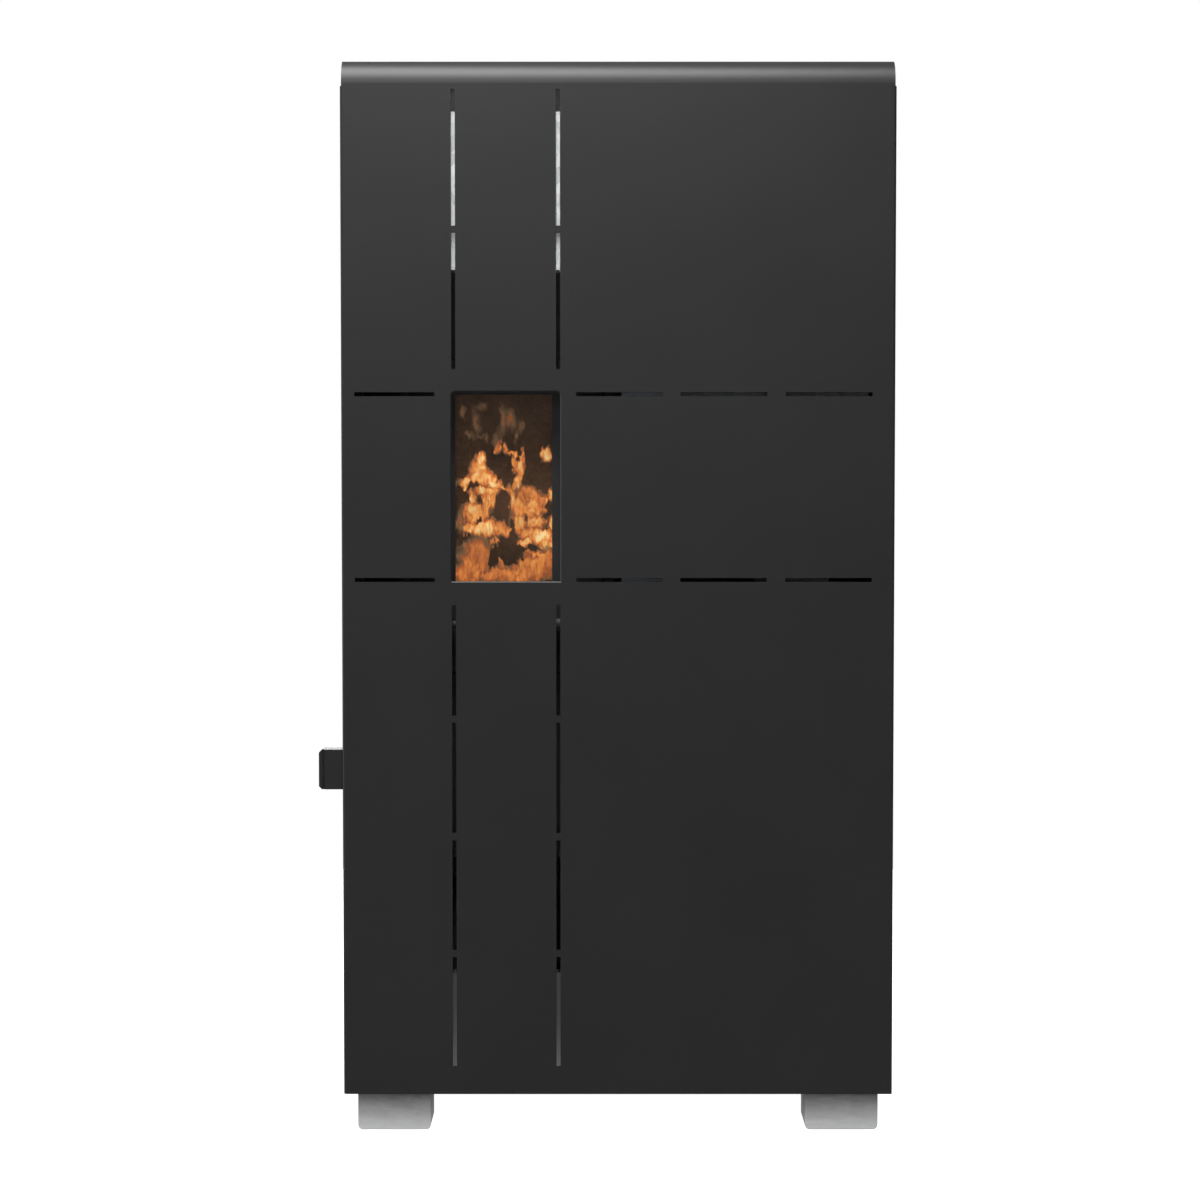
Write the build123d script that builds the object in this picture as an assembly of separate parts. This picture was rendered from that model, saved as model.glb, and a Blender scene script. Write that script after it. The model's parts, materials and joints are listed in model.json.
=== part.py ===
from build123d import *
import math
import os

# Pellet stove. Millimetres, +Z up. While modelling, X = 0 is the middle of the casing, Y = 0 the middle of
# its depth (the front faces -Y) and Z = 0 the floor. Every piece is shifted once, when it is written, so that
# the origin lies under the middle of the whole stove, with its handle and its flue collar.

# ---------------------------------------------------------------- casing
BODY_WIDTH = 540.0
BODY_DEPTH = 400.0
STOVE_HEIGHT = 1050.0
FOOT_HEIGHT = 37.0


def high(level):
    """A level of the 1050 mm tall stove, on a stove of this height."""
    return level * STOVE_HEIGHT / 1050.0


def across(place):
    """A sideways place or size of the 540 mm wide stove, on a stove of this width."""
    return place * BODY_WIDTH / 540.0


def deep(place):
    """A front-to-back place or size of the 400 mm deep stove, on a stove of this depth."""
    return place * BODY_DEPTH / 400.0


CASING_SHEET = 2.0
CASING_RETURN = 18.0          # width of the side panels' bent edges
PAN_WALL_HEIGHT = 25.0
FOOT_WIDTH = 72.0
FOOT_DEPTH = 60.0
FOOT_INSET_X = 13.0           # foot to the casing's side
FOOT_INSET_Y = 12.0           # foot to the casing's front or back
FOOT_CORNER = 5.0
FOOT_BOLT_RADIUS = 4.0
FOOT_BOLT_HEAD_RADIUS = 7.0
FOOT_BOLT_HEAD_HEIGHT = 5.0
FOOT_BOLT_LENGTH = 24.0
FOOT_BOLT_OFFSET = 6.0
SCREW_HEAD_RADIUS = 4.5
SCREW_HEAD_HEIGHT = 2.4
SCREW_RADIUS = 1.9
SCREW_EDGE = 10.0             # rear panel screws to the panel's edge
SCREW_COUNT_HIGH = 5
APRON_TOP = high(153.0)
PARTITION_GAP = 7.0           # firebox to partition plate
LOUVRE_WIDTH = across(70.0)
LOUVRE_HEIGHT = 5.0
LOUVRE_PITCH = 14.0
LOUVRE_COUNT = 8
LOUVRE_LOW_Z = high(230.0)
LOUVRE_HIGH_Z = high(880.0)

# ---------------------------------------------------------------- front door
DOOR_SHEET = 3.0
DOOR_FOLD = 28.0              # depth of the door's side folds
DOOR_GAP = 5.0                # side fold to side panel
DOOR_BOTTOM_GAP = 1.0
DOOR_BEND = 2.7               # outside bend radius of the folds
ROLL_RADIUS = 23.0
ROLL_STEP = 1.3               # the roll is this much narrower at each end
ROLL_FLAT = 5.0
FOLD_TOP_GAP = 3.0            # top of the side folds to the start of the roll
FOLD_BOTTOM_NOTCH = 6.0       # side folds start this far above the door's bottom
LIP_WIDTH = 18.0              # inward lip of the left fold, for the magnets
LUG_WIDTH = 17.0
LUG_THICKNESS = 4.0
LUG_TOP_GAP = 1.0             # upper lug to the top of the side folds
UPPER_BRACKET_RISE = 4.0      # upper bracket above the top of the side folds
HINGE_INSET_X = 8.0
HINGE_INSET_Y = 6.0
HINGE_PIN_RADIUS = 4.0
HINGE_PIN_CLEARANCE = 0.07
HINGE_COLLAR_RADIUS = 6.5
HINGE_BRACKET_THICKNESS = 3.0
HINGE_PIN_OVERRUN = 4.0
RUNNING_GAP = 0.3             # between faces that pass or close on each other
WINDOW_WIDTH = across(106.0)
WINDOW_HEIGHT = high(185.0)
WINDOW_CENTRE_X = across(-109.5)
WINDOW_TOP = high(728.5)
WINDOW_CORNER = 4.0
WINDOW_CHAMFER = 1.1
SLOT_WIDTH = 4.0
SLOT_WEB = 7.0
SLOT_OFFSET = across(51.0)            # slot lines to the window's centre line
UPPER_SLOT_TOP = high(1021.3)
UPPER_SLOT_LENGTH = high(131.9)
UPPER_SLOT_COUNT = 2
LOWER_SLOT_TOP = high(520.5)
LOWER_SLOT_LENGTH = high(108.5)
LOWER_SLOT_COUNT = 4
CROSS_SLOT_LEVELS = (high(726.0), high(545.0))
OUTER_SLOT_LENGTH = across(78.0)        # cross slots between the window and the pull
INNER_SLOT_LENGTH = across(84.5)
OUTER_SLOT_X = across(-218.0)
INNER_SLOT_XS = (across(1.3), across(103.0), across(205.5))
HANDLE_REACH = 23.4
HANDLE_HEIGHT = 39.2
HANDLE_BOTTOM = high(339.2)
HANDLE_DEPTH = 22.0
HANDLE_RIM = 3.6
HANDLE_GROOVE = 2.0
HANDLE_HOLLOW = 9.0           # finger hollow in the handle's back
HANDLE_CHAMFER = 3.0
MAGNET_SIZE = 12.0
MAGNET_HEIGHT = 40.0
MAGNET_LEVELS = (high(300.0), high(760.0))

# ---------------------------------------------------------------- firebox
FIREBOX_WIDTH = across(212.0)
FIREBOX_FRONT = deep(-148.0)
FIREBOX_DEPTH = deep(208.0)
FIREBOX_BOTTOM = high(296.0)
FIREBOX_TOP = high(847.0)
FIREBOX_WALL = 4.0
DECK_TOP = high(412.0)              # deck between the fire chamber and the ash bay
DECK_THICKNESS = 8.0
MOUTH_WIDTH = across(173.0)
MOUTH_BOTTOM = high(468.0)
MOUTH_TOP = high(745.0)
ASH_MOUTH_BOTTOM = high(302.0)
ASH_MOUTH_TOP = high(396.0)
LINING_SIDE = 10.0
LINING_BACK = 12.0
LINING_TOP = high(738.0)
BAFFLE_THICKNESS = 10.0
BAFFLE_FRONT_GAP = deep(42.0)
BAFFLE_SIDE_GAP = 1.5
TUBE_RADIUS = 14.0
TUBE_WALL = 1.5
TUBE_LEVEL = high(812.0)
TUBE_COUNT = 5
TUBE_PITCH = across(36.0)
POT_SIZE = 81.0
POT_CENTRE_Y = deep(-50.0)
POT_WALL = 5.0
POT_BOTTOM = high(446.0)
POT_TOP = high(528.0)
POT_FLANGE = 8.0
POT_FLANGE_THICKNESS = 6.0
POT_HOLE_RADIUS = 3.0
POT_HOLE_COUNT = 4
POT_HOLE_PITCH = 15.0
POT_SIDE_HOLE_RADIUS = 2.5
POT_CLEARANCE = 2.0
CRADLE_TOP = high(478.0)
CRADLE_WALL = 6.0
ASH_HOLE = 76.0
STAND_SHEET = 2.0
STAND_FLANGE = 15.0
IGNITER_RADIUS = 6.0
IGNITER_SLEEVE_RADIUS = 9.0
IGNITER_LEVEL = high(495.0)
IGNITER_TAIL = 26.0

# ---------------------------------------------------------------- fire door
FIRE_DOOR_CHAMFER = 2.0
FIRE_DOOR_WIDTH = across(192.0)
FIRE_DOOR_BOTTOM = high(450.0)
FIRE_DOOR_TOP = high(762.0)
FIRE_DOOR_THICKNESS = 14.0
FIRE_DOOR_CORNER = 8.0
SEAL_THICKNESS = 4.0
SEAL_WIDTH = 9.0
SEAL_EDGE = 1.0               # seal to the frame's outer edge
SIGHT_WIDTH = across(95.5)
SIGHT_SHIFT = 3.25            # sight opening left of the window's centre line
SIGHT_BOTTOM = high(534.0)
SIGHT_TOP = high(726.0)
GLASS_MARGIN = 14.0           # glass beyond the sight opening, all round
GLASS_THICKNESS = 4.0
GLASS_FIT = 0.5
CLIP_WIDTH = 16.0
CLIP_THICKNESS = 1.5
FIRE_HINGE_INSET = 8.0        # hinge axis to the frame's right edge
FIRE_HINGE_BACK = 6.0         # hinge axis behind the frame's front face
FIRE_PIN_RADIUS = 3.0
FIRE_PIN_CLEARANCE = 0.06
KNUCKLE_RADIUS = 6.5
KNUCKLE_HEIGHT = 20.0
KNUCKLE_LEVELS = (high(480.0), high(700.0))
HINGE_ARM_RADIUS = 6.0
HINGE_ARM_THICKNESS = 5.0
LATCH_LEVEL = high(500.0)
LATCH_PIVOT_INSET = 16.0      # latch pivot to the frame's left edge
LATCH_PIVOT_RADIUS = 5.0
LATCH_PIVOT_CLEARANCE = 0.08
LATCH_BOSS_RADIUS = 10.0
LATCH_BAR = 8.0
LATCH_BAR_RADIUS = 3.4
LATCH_GRIP_RADIUS = 5.6
LATCH_REACH = across(150.0)
LATCH_STAND_OFF = 4.0

# ---------------------------------------------------------------- ash drawer
DRAWER_SHEET = 1.5
DRAWER_SIDE_GAP = 6.0
DRAWER_HEIGHT = high(74.0)
DRAWER_DEPTH = deep(186.0)
DRAWER_FACE_MARGIN = 7.0
DRAWER_FACE_THICKNESS = 4.0
DRAWER_PULL_WIDTH = across(70.0)
DRAWER_PULL_RADIUS = 4.0
DRAWER_PULL_REACH = 18.0
DRAWER_POST_INSET = 1.0        # posts inside the bar's ends
DRAWER_POST_SHARE = 0.8        # post radius to bar radius

# ---------------------------------------------------------------- warm air
PLENUM_SHEET = 1.2
PLENUM_FRONT_GAP = 4.0        # plenum to the front door's sheet
PLENUM_TOP = high(1000.0)
PLENUM_NECK_WIDTH = across(176.0)
PLENUM_NECK_DEPTH = deep(120.0)
PLENUM_NECK_Y = deep(-40.0)
GRILLE_SLOT = 7.0
GRILLE_PITCH = deep(15.0)
GRILLE_COUNT = 7
CHANNEL_DEPTH = deep(38.0)
CHANNEL_SHEET = 2.0
BLOWER_RADIUS = deep(72.0)
BLOWER_FOOT_RISE = 57.6
BLOWER_WIDTH = across(56.0)
BLOWER_Y = deep(20.0)
BLOWER_Z = high(150.0)
BLOWER_SHEET = 1.5
BLOWER_EYE_RADIUS = 42.0
BLOWER_OUTLET_DEPTH = 35.0
ROTOR_RADIUS = deep(52.0)
ROTOR_RING = 5.0
ROTOR_BLADE_INSET = 1.0
ROTOR_RING_THICKNESS = 2.0
ROTOR_BLADES = 24
ROTOR_BLADE_THICKNESS = 1.0
ROTOR_SIDE_GAP = 5.0
BLOWER_SHAFT_RADIUS = 4.0
BLOWER_MOTOR_RADIUS = 36.0
BLOWER_MOTOR_LENGTH = across(62.0)
SHAFT_CLEARANCE = 0.06
SHAFT_END_ROOM = 1.0

# ---------------------------------------------------------------- smoke
SMOKE_WIDTH = across(81.0)
SMOKE_DEPTH = deep(34.0)
SMOKE_SHEET = 2.0
SMOKE_TOP = high(800.0)
SMOKE_BOTTOM = high(90.0)
SMOKE_PORT_BOTTOM = high(754.0)
SMOKE_PORT_TOP = high(790.0)
EXHAUST_Z = high(160.0)
EXHAUST_RADIUS = 64.0
EXHAUST_DEPTH = deep(42.0)
EXHAUST_WALL = 3.0
EXHAUST_EYE_RADIUS = 30.0
IMPELLER_RADIUS = 52.0
IMPELLER_BLADES = 8
IMPELLER_BLADE_HEIGHT = deep(22.0)
IMPELLER_PLATE = 2.0
IMPELLER_GAP = 6.0
EXHAUST_SHAFT_RADIUS = 4.0
EXHAUST_MOTOR_RADIUS = 33.0
EXHAUST_MOTOR_FLANGE = 42.9
EXHAUST_MOTOR_LENGTH = deep(46.0)
FLUE_X = across(2.0)
FLUE_Z = high(195.0)
FLUE_RADIUS = 40.0
FLUE_WALL = 2.0
SPIGOT_STEP = 1.0             # a pipe's free end is this much larger in radius than the rest of it
SPIGOT_START = 1.0            # the free end starts this far behind the rear panel
FLUE_REACH = 45.0             # flue collar beyond the rear panel
FLUE_HOLE_GAP = 4.0
PROBE_RADIUS = 3.0
PROBE_REACH = 30.0
AIR_PIPE_X = across(-186.0)
AIR_PIPE_Z = high(345.0)
AIR_PIPE_RADIUS = 25.0
AIR_PIPE_WALL = 2.0

# ---------------------------------------------------------------- hopper and feed
HOPPER_LEFT = across(12.0)
HOPPER_RIGHT = across(256.0)
HOPPER_FRONT = deep(-140.0)
HOPPER_BACK = deep(98.0)
HOPPER_SHEET = 1.5
HOPPER_SHOULDER = high(760.0)
HOPPER_RIM_DROP = 10.0        # hopper's rim below the top of the stove
HOPPER_LIP = 24.0             # inward lip round the hopper's rim
NECK_LEFT = across(165.0)
NECK_RIGHT = across(225.0)
NECK_WIDTH_Y = 38.0
NECK_TOP = high(505.0)
NECK_BOTTOM = high(415.0)
AUGER_Y = deep(150.0)
AUGER_LOW_X = across(228.0)
AUGER_LOW_Z = high(400.0)
AUGER_TUBE_RADIUS = 25.0
AUGER_TUBE_WALL = 3.0
AUGER_GAP = 1.5
AUGER_SHAFT_RADIUS = 8.0
AUGER_PITCH = 38.0
AUGER_FLIGHT_THICKNESS = 3.0
AUGER_END_PLATE = 5.0
GEARBOX_LENGTH = 34.0
GEARBOX_SIZE = 56.0
GEAR_MOTOR_LENGTH = 40.0
GEAR_MOTOR_RADIUS = 22.0
CHUTE_WIDTH = 36.0
CHUTE_HEIGHT = 42.0
CHUTE_SHEET = 1.5
CHUTE_DROP = high(62.0)
CHUTE_DUCT_GAP = 11.5         # chute to the smoke duct beside it
GUARD_LEVEL = high(1000.0)
GUARD_WIRE = 3.0
GUARD_COLUMNS = 6
GUARD_ROWS = 6
RAIL_LEVEL = high(800.0)
RAIL_HEIGHT = 30.0

# ---------------------------------------------------------------- lid
LID_SHEET = 3.0
LID_FRONT = deep(-136.0)
LID_GAP = 2.0
LID_INSET = 12.0              # lid to the hopper's outside, at each side
LID_AXIS_DROP = 5.0           # lid's hinge axis below the top of the stove
LID_AXIS_SETBACK = 4.0        # hinge axis behind the lid's rear edge
LID_BARREL_RADIUS = 3.0
LID_PIN_RADIUS = 1.5
LID_PIN_CLEARANCE = 0.06
LID_REAR_GAP = 6.0
LID_EAR_THICKNESS = 4.0
LID_EAR_SPACE = 0.8
LID_FINGER_WIDTH = across(80.0)
LID_FINGER_DEPTH = 9.0
LID_SEAL_WIDTH = 8.0

# ---------------------------------------------------------------- electrics
PANEL_X = across(134.0)
PANEL_Y = deep(146.0)
PANEL_WIDTH = across(150.0)
PANEL_DEPTH = deep(50.0)
PANEL_HEIGHT = 26.0
PANEL_WALL = 2.5
PANEL_SUNK = 0.6              # face of the control panel below the top cover's face
DISPLAY_WIDTH = across(66.0)
DISPLAY_DEPTH = deep(26.0)
DISPLAY_THICKNESS = 1.5
DISPLAY_X = across(-30.0)
BUTTON_RADIUS = 5.5
BUTTON_GAP = 0.3
BUTTON_HEIGHT = 5.0
BUTTON_PROUD = 0.4
BUTTON_PITCH = across(16.0)
BUTTON_X = across(34.0)
BUTTON_STEM_RADIUS = 2.0
BUTTON_TRAVEL = 0.8
BOARD_THICKNESS = 1.6
BOARD_MARGIN = 12.0
BOARD_LOW_MARGIN = 75.0
BOARD_STAND_OFF = 6.0
BOARD_POST_INSET = 6.0
BOARD_POST_RADIUS = 3.0
TRANSFORMER_WIDTH = 35.0
TRANSFORMER_DEPTH = 28.0
TRANSFORMER_TOP_INSET = 15.0
RELAY_COUNT = 4
RELAY_PITCH = 18.0
RELAY_WIDTH = 14.0
RELAY_DEPTH = 15.0
RELAY_HEIGHT = 20.0
TERMINAL_INSET = 8.0
TERMINAL_DEPTH = 10.0
TERMINAL_HEIGHT = 12.0
BOX_LEFT = across(110.0)
BOX_RIGHT = across(262.0)
BOX_DEPTH = deep(70.0)
BOX_BACK = deep(190.0)
BOX_BOTTOM = high(60.0)
BOX_HEIGHT = high(210.0)
BOX_SHEET = 1.5
INLET_X = across(190.0)
INLET_Z = high(100.0)
INLET_WIDTH = 48.0
INLET_HEIGHT = 27.0
INLET_FLANGE = 5.0
INLET_FLANGE_THICKNESS = 1.5
INLET_DEPTH = 24.0
INLET_WALL = 4.0
INLET_RECESS_WIDTH = 25.0
INLET_RECESS_HEIGHT = 17.0
INLET_RECESS_CHAMFER = 4.0
INLET_PIN_PITCH = 7.0
INLET_PIN_DROP = 1.5
INLET_PIN_RISE = 2.5
INLET_PIN_WIDTH = 2.0
INLET_PIN_HEIGHT = 4.0
INLET_PIN_LENGTH = 16.0
SWITCH_X = across(235.0)
SWITCH_WIDTH = 20.0
SWITCH_HEIGHT = 27.0
SWITCH_AXIS_DEPTH = 8.0
SWITCH_PIN_RADIUS = 1.5
SWITCH_PIN_CLEARANCE = 0.05
SWITCH_WALL = 1.5
SWITCH_DEPTH = 18.0
ROCKER_DISH_REACH = 2.35
ROCKER_DISH_RADIUS = 1.75
THERMOSTAT_X = across(150.0)
THERMOSTAT_Z = high(320.0)
THERMOSTAT_RADIUS = 14.0
THERMOSTAT_LENGTH = 34.0
THERMOSTAT_FLANGE = 2.0
RESET_RADIUS = 4.0
RESET_BORE_DEPTH = 12.0
RESET_ROOM = 4.0
RESET_PROUD = 1.5
RESET_CLEARANCE = 0.1
PRESSURE_X = across(80.0)
PRESSURE_Y = deep(150.0)
PRESSURE_Z = high(110.0)
PRESSURE_RADIUS = 28.0
PRESSURE_THICKNESS = 22.0
PRESSURE_CAP = 8.0
PRESSURE_POST_WIDTH = 24.0
NIPPLE_LENGTH = 12.0
HOSE_TURN_SHARE = 0.45
HOSE_RADIUS = 3.0

# ---------------------------------------------------------------- places worked out from the sizes
HALF_WIDTH = BODY_WIDTH / 2
FRONT = -BODY_DEPTH / 2
BACK = BODY_DEPTH / 2
INNER_X = HALF_WIDTH - CASING_SHEET
REAR_INNER = BACK - CASING_SHEET
COVER_UNDER = STOVE_HEIGHT - CASING_SHEET
HOPPER_RIM = STOVE_HEIGHT - HOPPER_RIM_DROP
LID_AXIS_Z = STOVE_HEIGHT - LID_AXIS_DROP
PAN_TOP = FOOT_HEIGHT + CASING_SHEET
DOOR_BACK = FRONT + DOOR_FOLD
DOOR_INNER = FRONT + DOOR_SHEET
CASING_FRONT = DOOR_BACK + DOOR_GAP
RETURN_BACK = CASING_FRONT + CASING_SHEET
DOOR_BOTTOM = FOOT_HEIGHT + DOOR_BOTTOM_GAP
ROLL_START = STOVE_HEIGHT - ROLL_RADIUS
FOLD_TOP = ROLL_START - FOLD_TOP_GAP
FOLD_BOTTOM = DOOR_BOTTOM + FOLD_BOTTOM_NOTCH
HINGE_X = HALF_WIDTH - HINGE_INSET_X
HINGE_Y = DOOR_BACK - HINGE_INSET_Y
LOWER_BRACKET_TOP = PAN_TOP + HINGE_BRACKET_THICKNESS
LOWER_LUG_BOTTOM = FOLD_BOTTOM
UPPER_LUG_TOP = FOLD_TOP - LUG_TOP_GAP
UPPER_BRACKET_BOTTOM = FOLD_TOP + UPPER_BRACKET_RISE

FIREBOX_X = WINDOW_CENTRE_X
SIGHT_X = WINDOW_CENTRE_X - SIGHT_SHIFT
FIREBOX_LEFT = FIREBOX_X - FIREBOX_WIDTH / 2
FIREBOX_RIGHT = FIREBOX_X + FIREBOX_WIDTH / 2
FIREBOX_BACK = FIREBOX_FRONT + FIREBOX_DEPTH
CHAMBER_LEFT = FIREBOX_LEFT + FIREBOX_WALL
CHAMBER_RIGHT = FIREBOX_RIGHT - FIREBOX_WALL
CHAMBER_FRONT = FIREBOX_FRONT + FIREBOX_WALL
CHAMBER_BACK = FIREBOX_BACK - FIREBOX_WALL
CHANNEL_BACK = FIREBOX_BACK + CHANNEL_DEPTH
SMOKE_BACK = FIREBOX_BACK + SMOKE_DEPTH

FIRE_DOOR_BACK = FIREBOX_FRONT - SEAL_THICKNESS
FIRE_DOOR_FRONT = FIRE_DOOR_BACK - FIRE_DOOR_THICKNESS
FIRE_DOOR_LEFT = FIREBOX_X - FIRE_DOOR_WIDTH / 2
FIRE_DOOR_RIGHT = FIREBOX_X + FIRE_DOOR_WIDTH / 2
FIRE_HINGE_X = FIRE_DOOR_RIGHT + FIRE_HINGE_INSET
FIRE_HINGE_Y = FIRE_DOOR_FRONT + FIRE_HINGE_BACK
LATCH_X = FIRE_DOOR_LEFT + LATCH_PIVOT_INSET

CHUTE_X = FIREBOX_X + SMOKE_WIDTH / 2 + CHUTE_DUCT_GAP + CHUTE_SHEET + CHUTE_WIDTH / 2
AUGER_RUN = AUGER_LOW_X - CHUTE_X   # sideways travel of the auger, which rises as much
AUGER_LOW = Vector(AUGER_LOW_X, AUGER_Y, AUGER_LOW_Z)
AUGER_HIGH = AUGER_LOW + Vector(-AUGER_RUN, 0, AUGER_RUN)
AUGER_WAY = (AUGER_HIGH - AUGER_LOW).normalized()
LID_LEFT = HOPPER_LEFT + LID_INSET
LID_RIGHT = HOPPER_RIGHT - LID_INSET
LID_BACK = HOPPER_BACK - LID_INSET
LID_AXIS_Y = LID_BACK + LID_AXIS_SETBACK

# Shift that puts the origin under the middle of the whole stove.
ORIGIN_SHIFT = Pos(HANDLE_REACH / 2, -FLUE_REACH / 2, 0)


# ---------------------------------------------------------------- helpers
def block(x_low, x_high, y_low, y_high, z_low, z_high):
    """A box between two corners."""
    centre = Pos((x_low + x_high) / 2, (y_low + y_high) / 2, (z_low + z_high) / 2)
    return centre * Box(x_high - x_low, y_high - y_low, z_high - z_low)


def rod(start, end, radius):
    """A round bar from one point to another."""
    first = Vector(*start)
    way = Vector(*end) - first
    ends = (Align.CENTER, Align.CENTER, Align.MIN)
    return Plane(origin=first, z_dir=way) * Cylinder(radius, way.length, align=ends)


def pipe(start, end, radius, wall):
    """A round tube, open at both ends."""
    return rod(start, end, radius) - rod(start, end, radius - wall)


def tray(x_low, x_high, y_low, y_high, z_low, z_high, sheet):
    """A box of folded sheet, open at its top."""
    outside = block(x_low, x_high, y_low, y_high, z_low, z_high)
    inside = block(x_low + sheet, x_high - sheet, y_low + sheet, y_high - sheet, z_low + sheet, z_high)
    return outside - inside


def ring_frame(x_low, x_high, y_low, y_high, z_low, z_high, width):
    """A rectangular frame that lies flat against a wall facing Y."""
    outside = block(x_low, x_high, y_low, y_high, z_low, z_high)
    return outside - block(x_low + width, x_high - width, y_low, y_high, z_low + width, z_high - width)


def group(solids):
    """Separate solids that share one node."""
    return Compound(list(solids))


def mirrored_places(x_values, y_values):
    """Every pairing of the given places."""
    return [(x, y) for x in x_values for y in y_values]


def spread(count, pitch):
    """Centres of a row of equal steps about zero."""
    return [(index - (count - 1) / 2) * pitch for index in range(count)]


# ---------------------------------------------------------------- casing
def foot_places():
    """The middle of each foot."""
    x_off = HALF_WIDTH - FOOT_INSET_X - FOOT_WIDTH / 2
    y_off = BODY_DEPTH / 2 - FOOT_INSET_Y - FOOT_DEPTH / 2
    return mirrored_places((-x_off, x_off), (-y_off, y_off))


def bolt_places():
    """The bolt of each foot, a little towards the stove's middle."""
    return [(x, y - math.copysign(FOOT_BOLT_OFFSET, y)) for x, y in foot_places()]


def make_feet():
    """Four block feet with rounded lower ends and a bolt hole from above."""
    feet = []
    for (x, y), (bolt_x, bolt_y) in zip(foot_places(), bolt_places()):
        foot = block(x - FOOT_WIDTH / 2, x + FOOT_WIDTH / 2, y - FOOT_DEPTH / 2, y + FOOT_DEPTH / 2,
                     0, FOOT_HEIGHT)
        foot = fillet(foot.edges().filter_by(Axis.Y).group_by(Axis.Z)[0], FOOT_CORNER)
        foot -= rod((bolt_x, bolt_y, FOOT_HEIGHT - FOOT_BOLT_LENGTH), (bolt_x, bolt_y, FOOT_HEIGHT),
                    FOOT_BOLT_RADIUS)
        feet.append(foot)
    return group(feet)


def foot_bolts():
    """Hexagon bolts that hold the feet, put in from inside the pan."""
    bolts = []
    for x, y in bolt_places():
        shank = rod((x, y, FOOT_HEIGHT - FOOT_BOLT_LENGTH), (x, y, PAN_TOP), FOOT_BOLT_RADIUS)
        head = Pos(x, y, PAN_TOP) * extrude(RegularPolygon(FOOT_BOLT_HEAD_RADIUS, 6), FOOT_BOLT_HEAD_HEIGHT)
        bolts.append(shank + head)
    return bolts


def make_base_pan():
    """Shallow pan that carries everything; its front wall leaves room for the lower door hinge."""
    pan = tray(-INNER_X, INNER_X, RETURN_BACK, REAR_INNER, FOOT_HEIGHT, PAN_TOP + PAN_WALL_HEIGHT, CASING_SHEET)
    hinge_room = HINGE_X - HINGE_INSET_X - LUG_WIDTH
    pan -= block(hinge_room, INNER_X, RETURN_BACK, RETURN_BACK + CASING_SHEET, PAN_TOP, BODY_WIDTH)
    for x, y in bolt_places():
        pan -= rod((x, y, FOOT_HEIGHT), (x, y, PAN_TOP), FOOT_BOLT_RADIUS)
    return pan


def make_side_panel(side):
    """Side panel with a bent edge at the front and at the back; side is -1 for left and 1 for right."""
    outer = side * HALF_WIDTH
    inner = side * INNER_X
    edge = side * (INNER_X - CASING_RETURN)
    x_low, x_high = min(outer, inner), max(outer, inner)
    panel = block(x_low, x_high, CASING_FRONT, BACK, FOOT_HEIGHT, COVER_UNDER)
    x_low, x_high = min(inner, edge), max(inner, edge)
    bracket_top = LOWER_BRACKET_TOP + LUG_THICKNESS
    panel += block(x_low, x_high, CASING_FRONT, RETURN_BACK, bracket_top, COVER_UNDER)
    return panel


def make_side_panel_left():
    """Left side panel."""
    return make_side_panel(-1)


def make_side_panel_right():
    """Right side panel."""
    return make_side_panel(1)


def louvres(x_centre, z_centre):
    """A stack of slots through the rear panel."""
    cutters = []
    for z_off in spread(LOUVRE_COUNT, LOUVRE_PITCH):
        z = z_centre + z_off
        cutters.append(block(x_centre - LOUVRE_WIDTH / 2, x_centre + LOUVRE_WIDTH / 2, REAR_INNER, BACK,
                             z - LOUVRE_HEIGHT / 2, z + LOUVRE_HEIGHT / 2))
    return cutters


def make_rear_panel():
    """Rear panel with bent sides, the flue and air holes, the inlet and thermostat cut-outs and louvres."""
    panel = block(-INNER_X, INNER_X, REAR_INNER, BACK, FOOT_HEIGHT, COVER_UNDER)
    for side in (-1, 1):
        x_low, x_high = sorted((side * INNER_X, side * (INNER_X - CASING_SHEET)))
        panel += block(x_low, x_high, REAR_INNER - CASING_RETURN, REAR_INNER, PAN_TOP + PAN_WALL_HEIGHT, COVER_UNDER)
    panel -= rod((FLUE_X, REAR_INNER, FLUE_Z), (FLUE_X, BACK, FLUE_Z), FLUE_RADIUS + FLUE_HOLE_GAP)
    panel -= rod((AIR_PIPE_X, REAR_INNER, AIR_PIPE_Z), (AIR_PIPE_X, BACK, AIR_PIPE_Z),
                 AIR_PIPE_RADIUS + FLUE_HOLE_GAP)
    for x, width, height in ((INLET_X, INLET_WIDTH, INLET_HEIGHT), (SWITCH_X, SWITCH_WIDTH, SWITCH_HEIGHT)):
        panel -= block(x - width / 2, x + width / 2, REAR_INNER, BACK, INLET_Z - height / 2, INLET_Z + height / 2)
    panel -= rod((THERMOSTAT_X, REAR_INNER, THERMOSTAT_Z), (THERMOSTAT_X, BACK, THERMOSTAT_Z), THERMOSTAT_RADIUS)
    for x, z in rear_screw_places():
        panel -= rod((x, REAR_INNER, z), (x, BACK, z), SCREW_RADIUS)
    panel -= louvres(FIREBOX_X, LOUVRE_LOW_Z)
    panel -= louvres(FIREBOX_X, LOUVRE_HIGH_Z)
    panel -= louvres(PANEL_X, LOUVRE_HIGH_Z)
    return panel


def rear_screw_places():
    """Screws down both sides of the rear panel."""
    x_off = INNER_X - SCREW_EDGE
    low = PAN_TOP + PAN_WALL_HEIGHT / 2
    step = (COVER_UNDER - SCREW_EDGE - low) / (SCREW_COUNT_HIGH - 1)
    return [(x, low + step * index) for x in (-x_off, x_off) for index in range(SCREW_COUNT_HIGH)]


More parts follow.
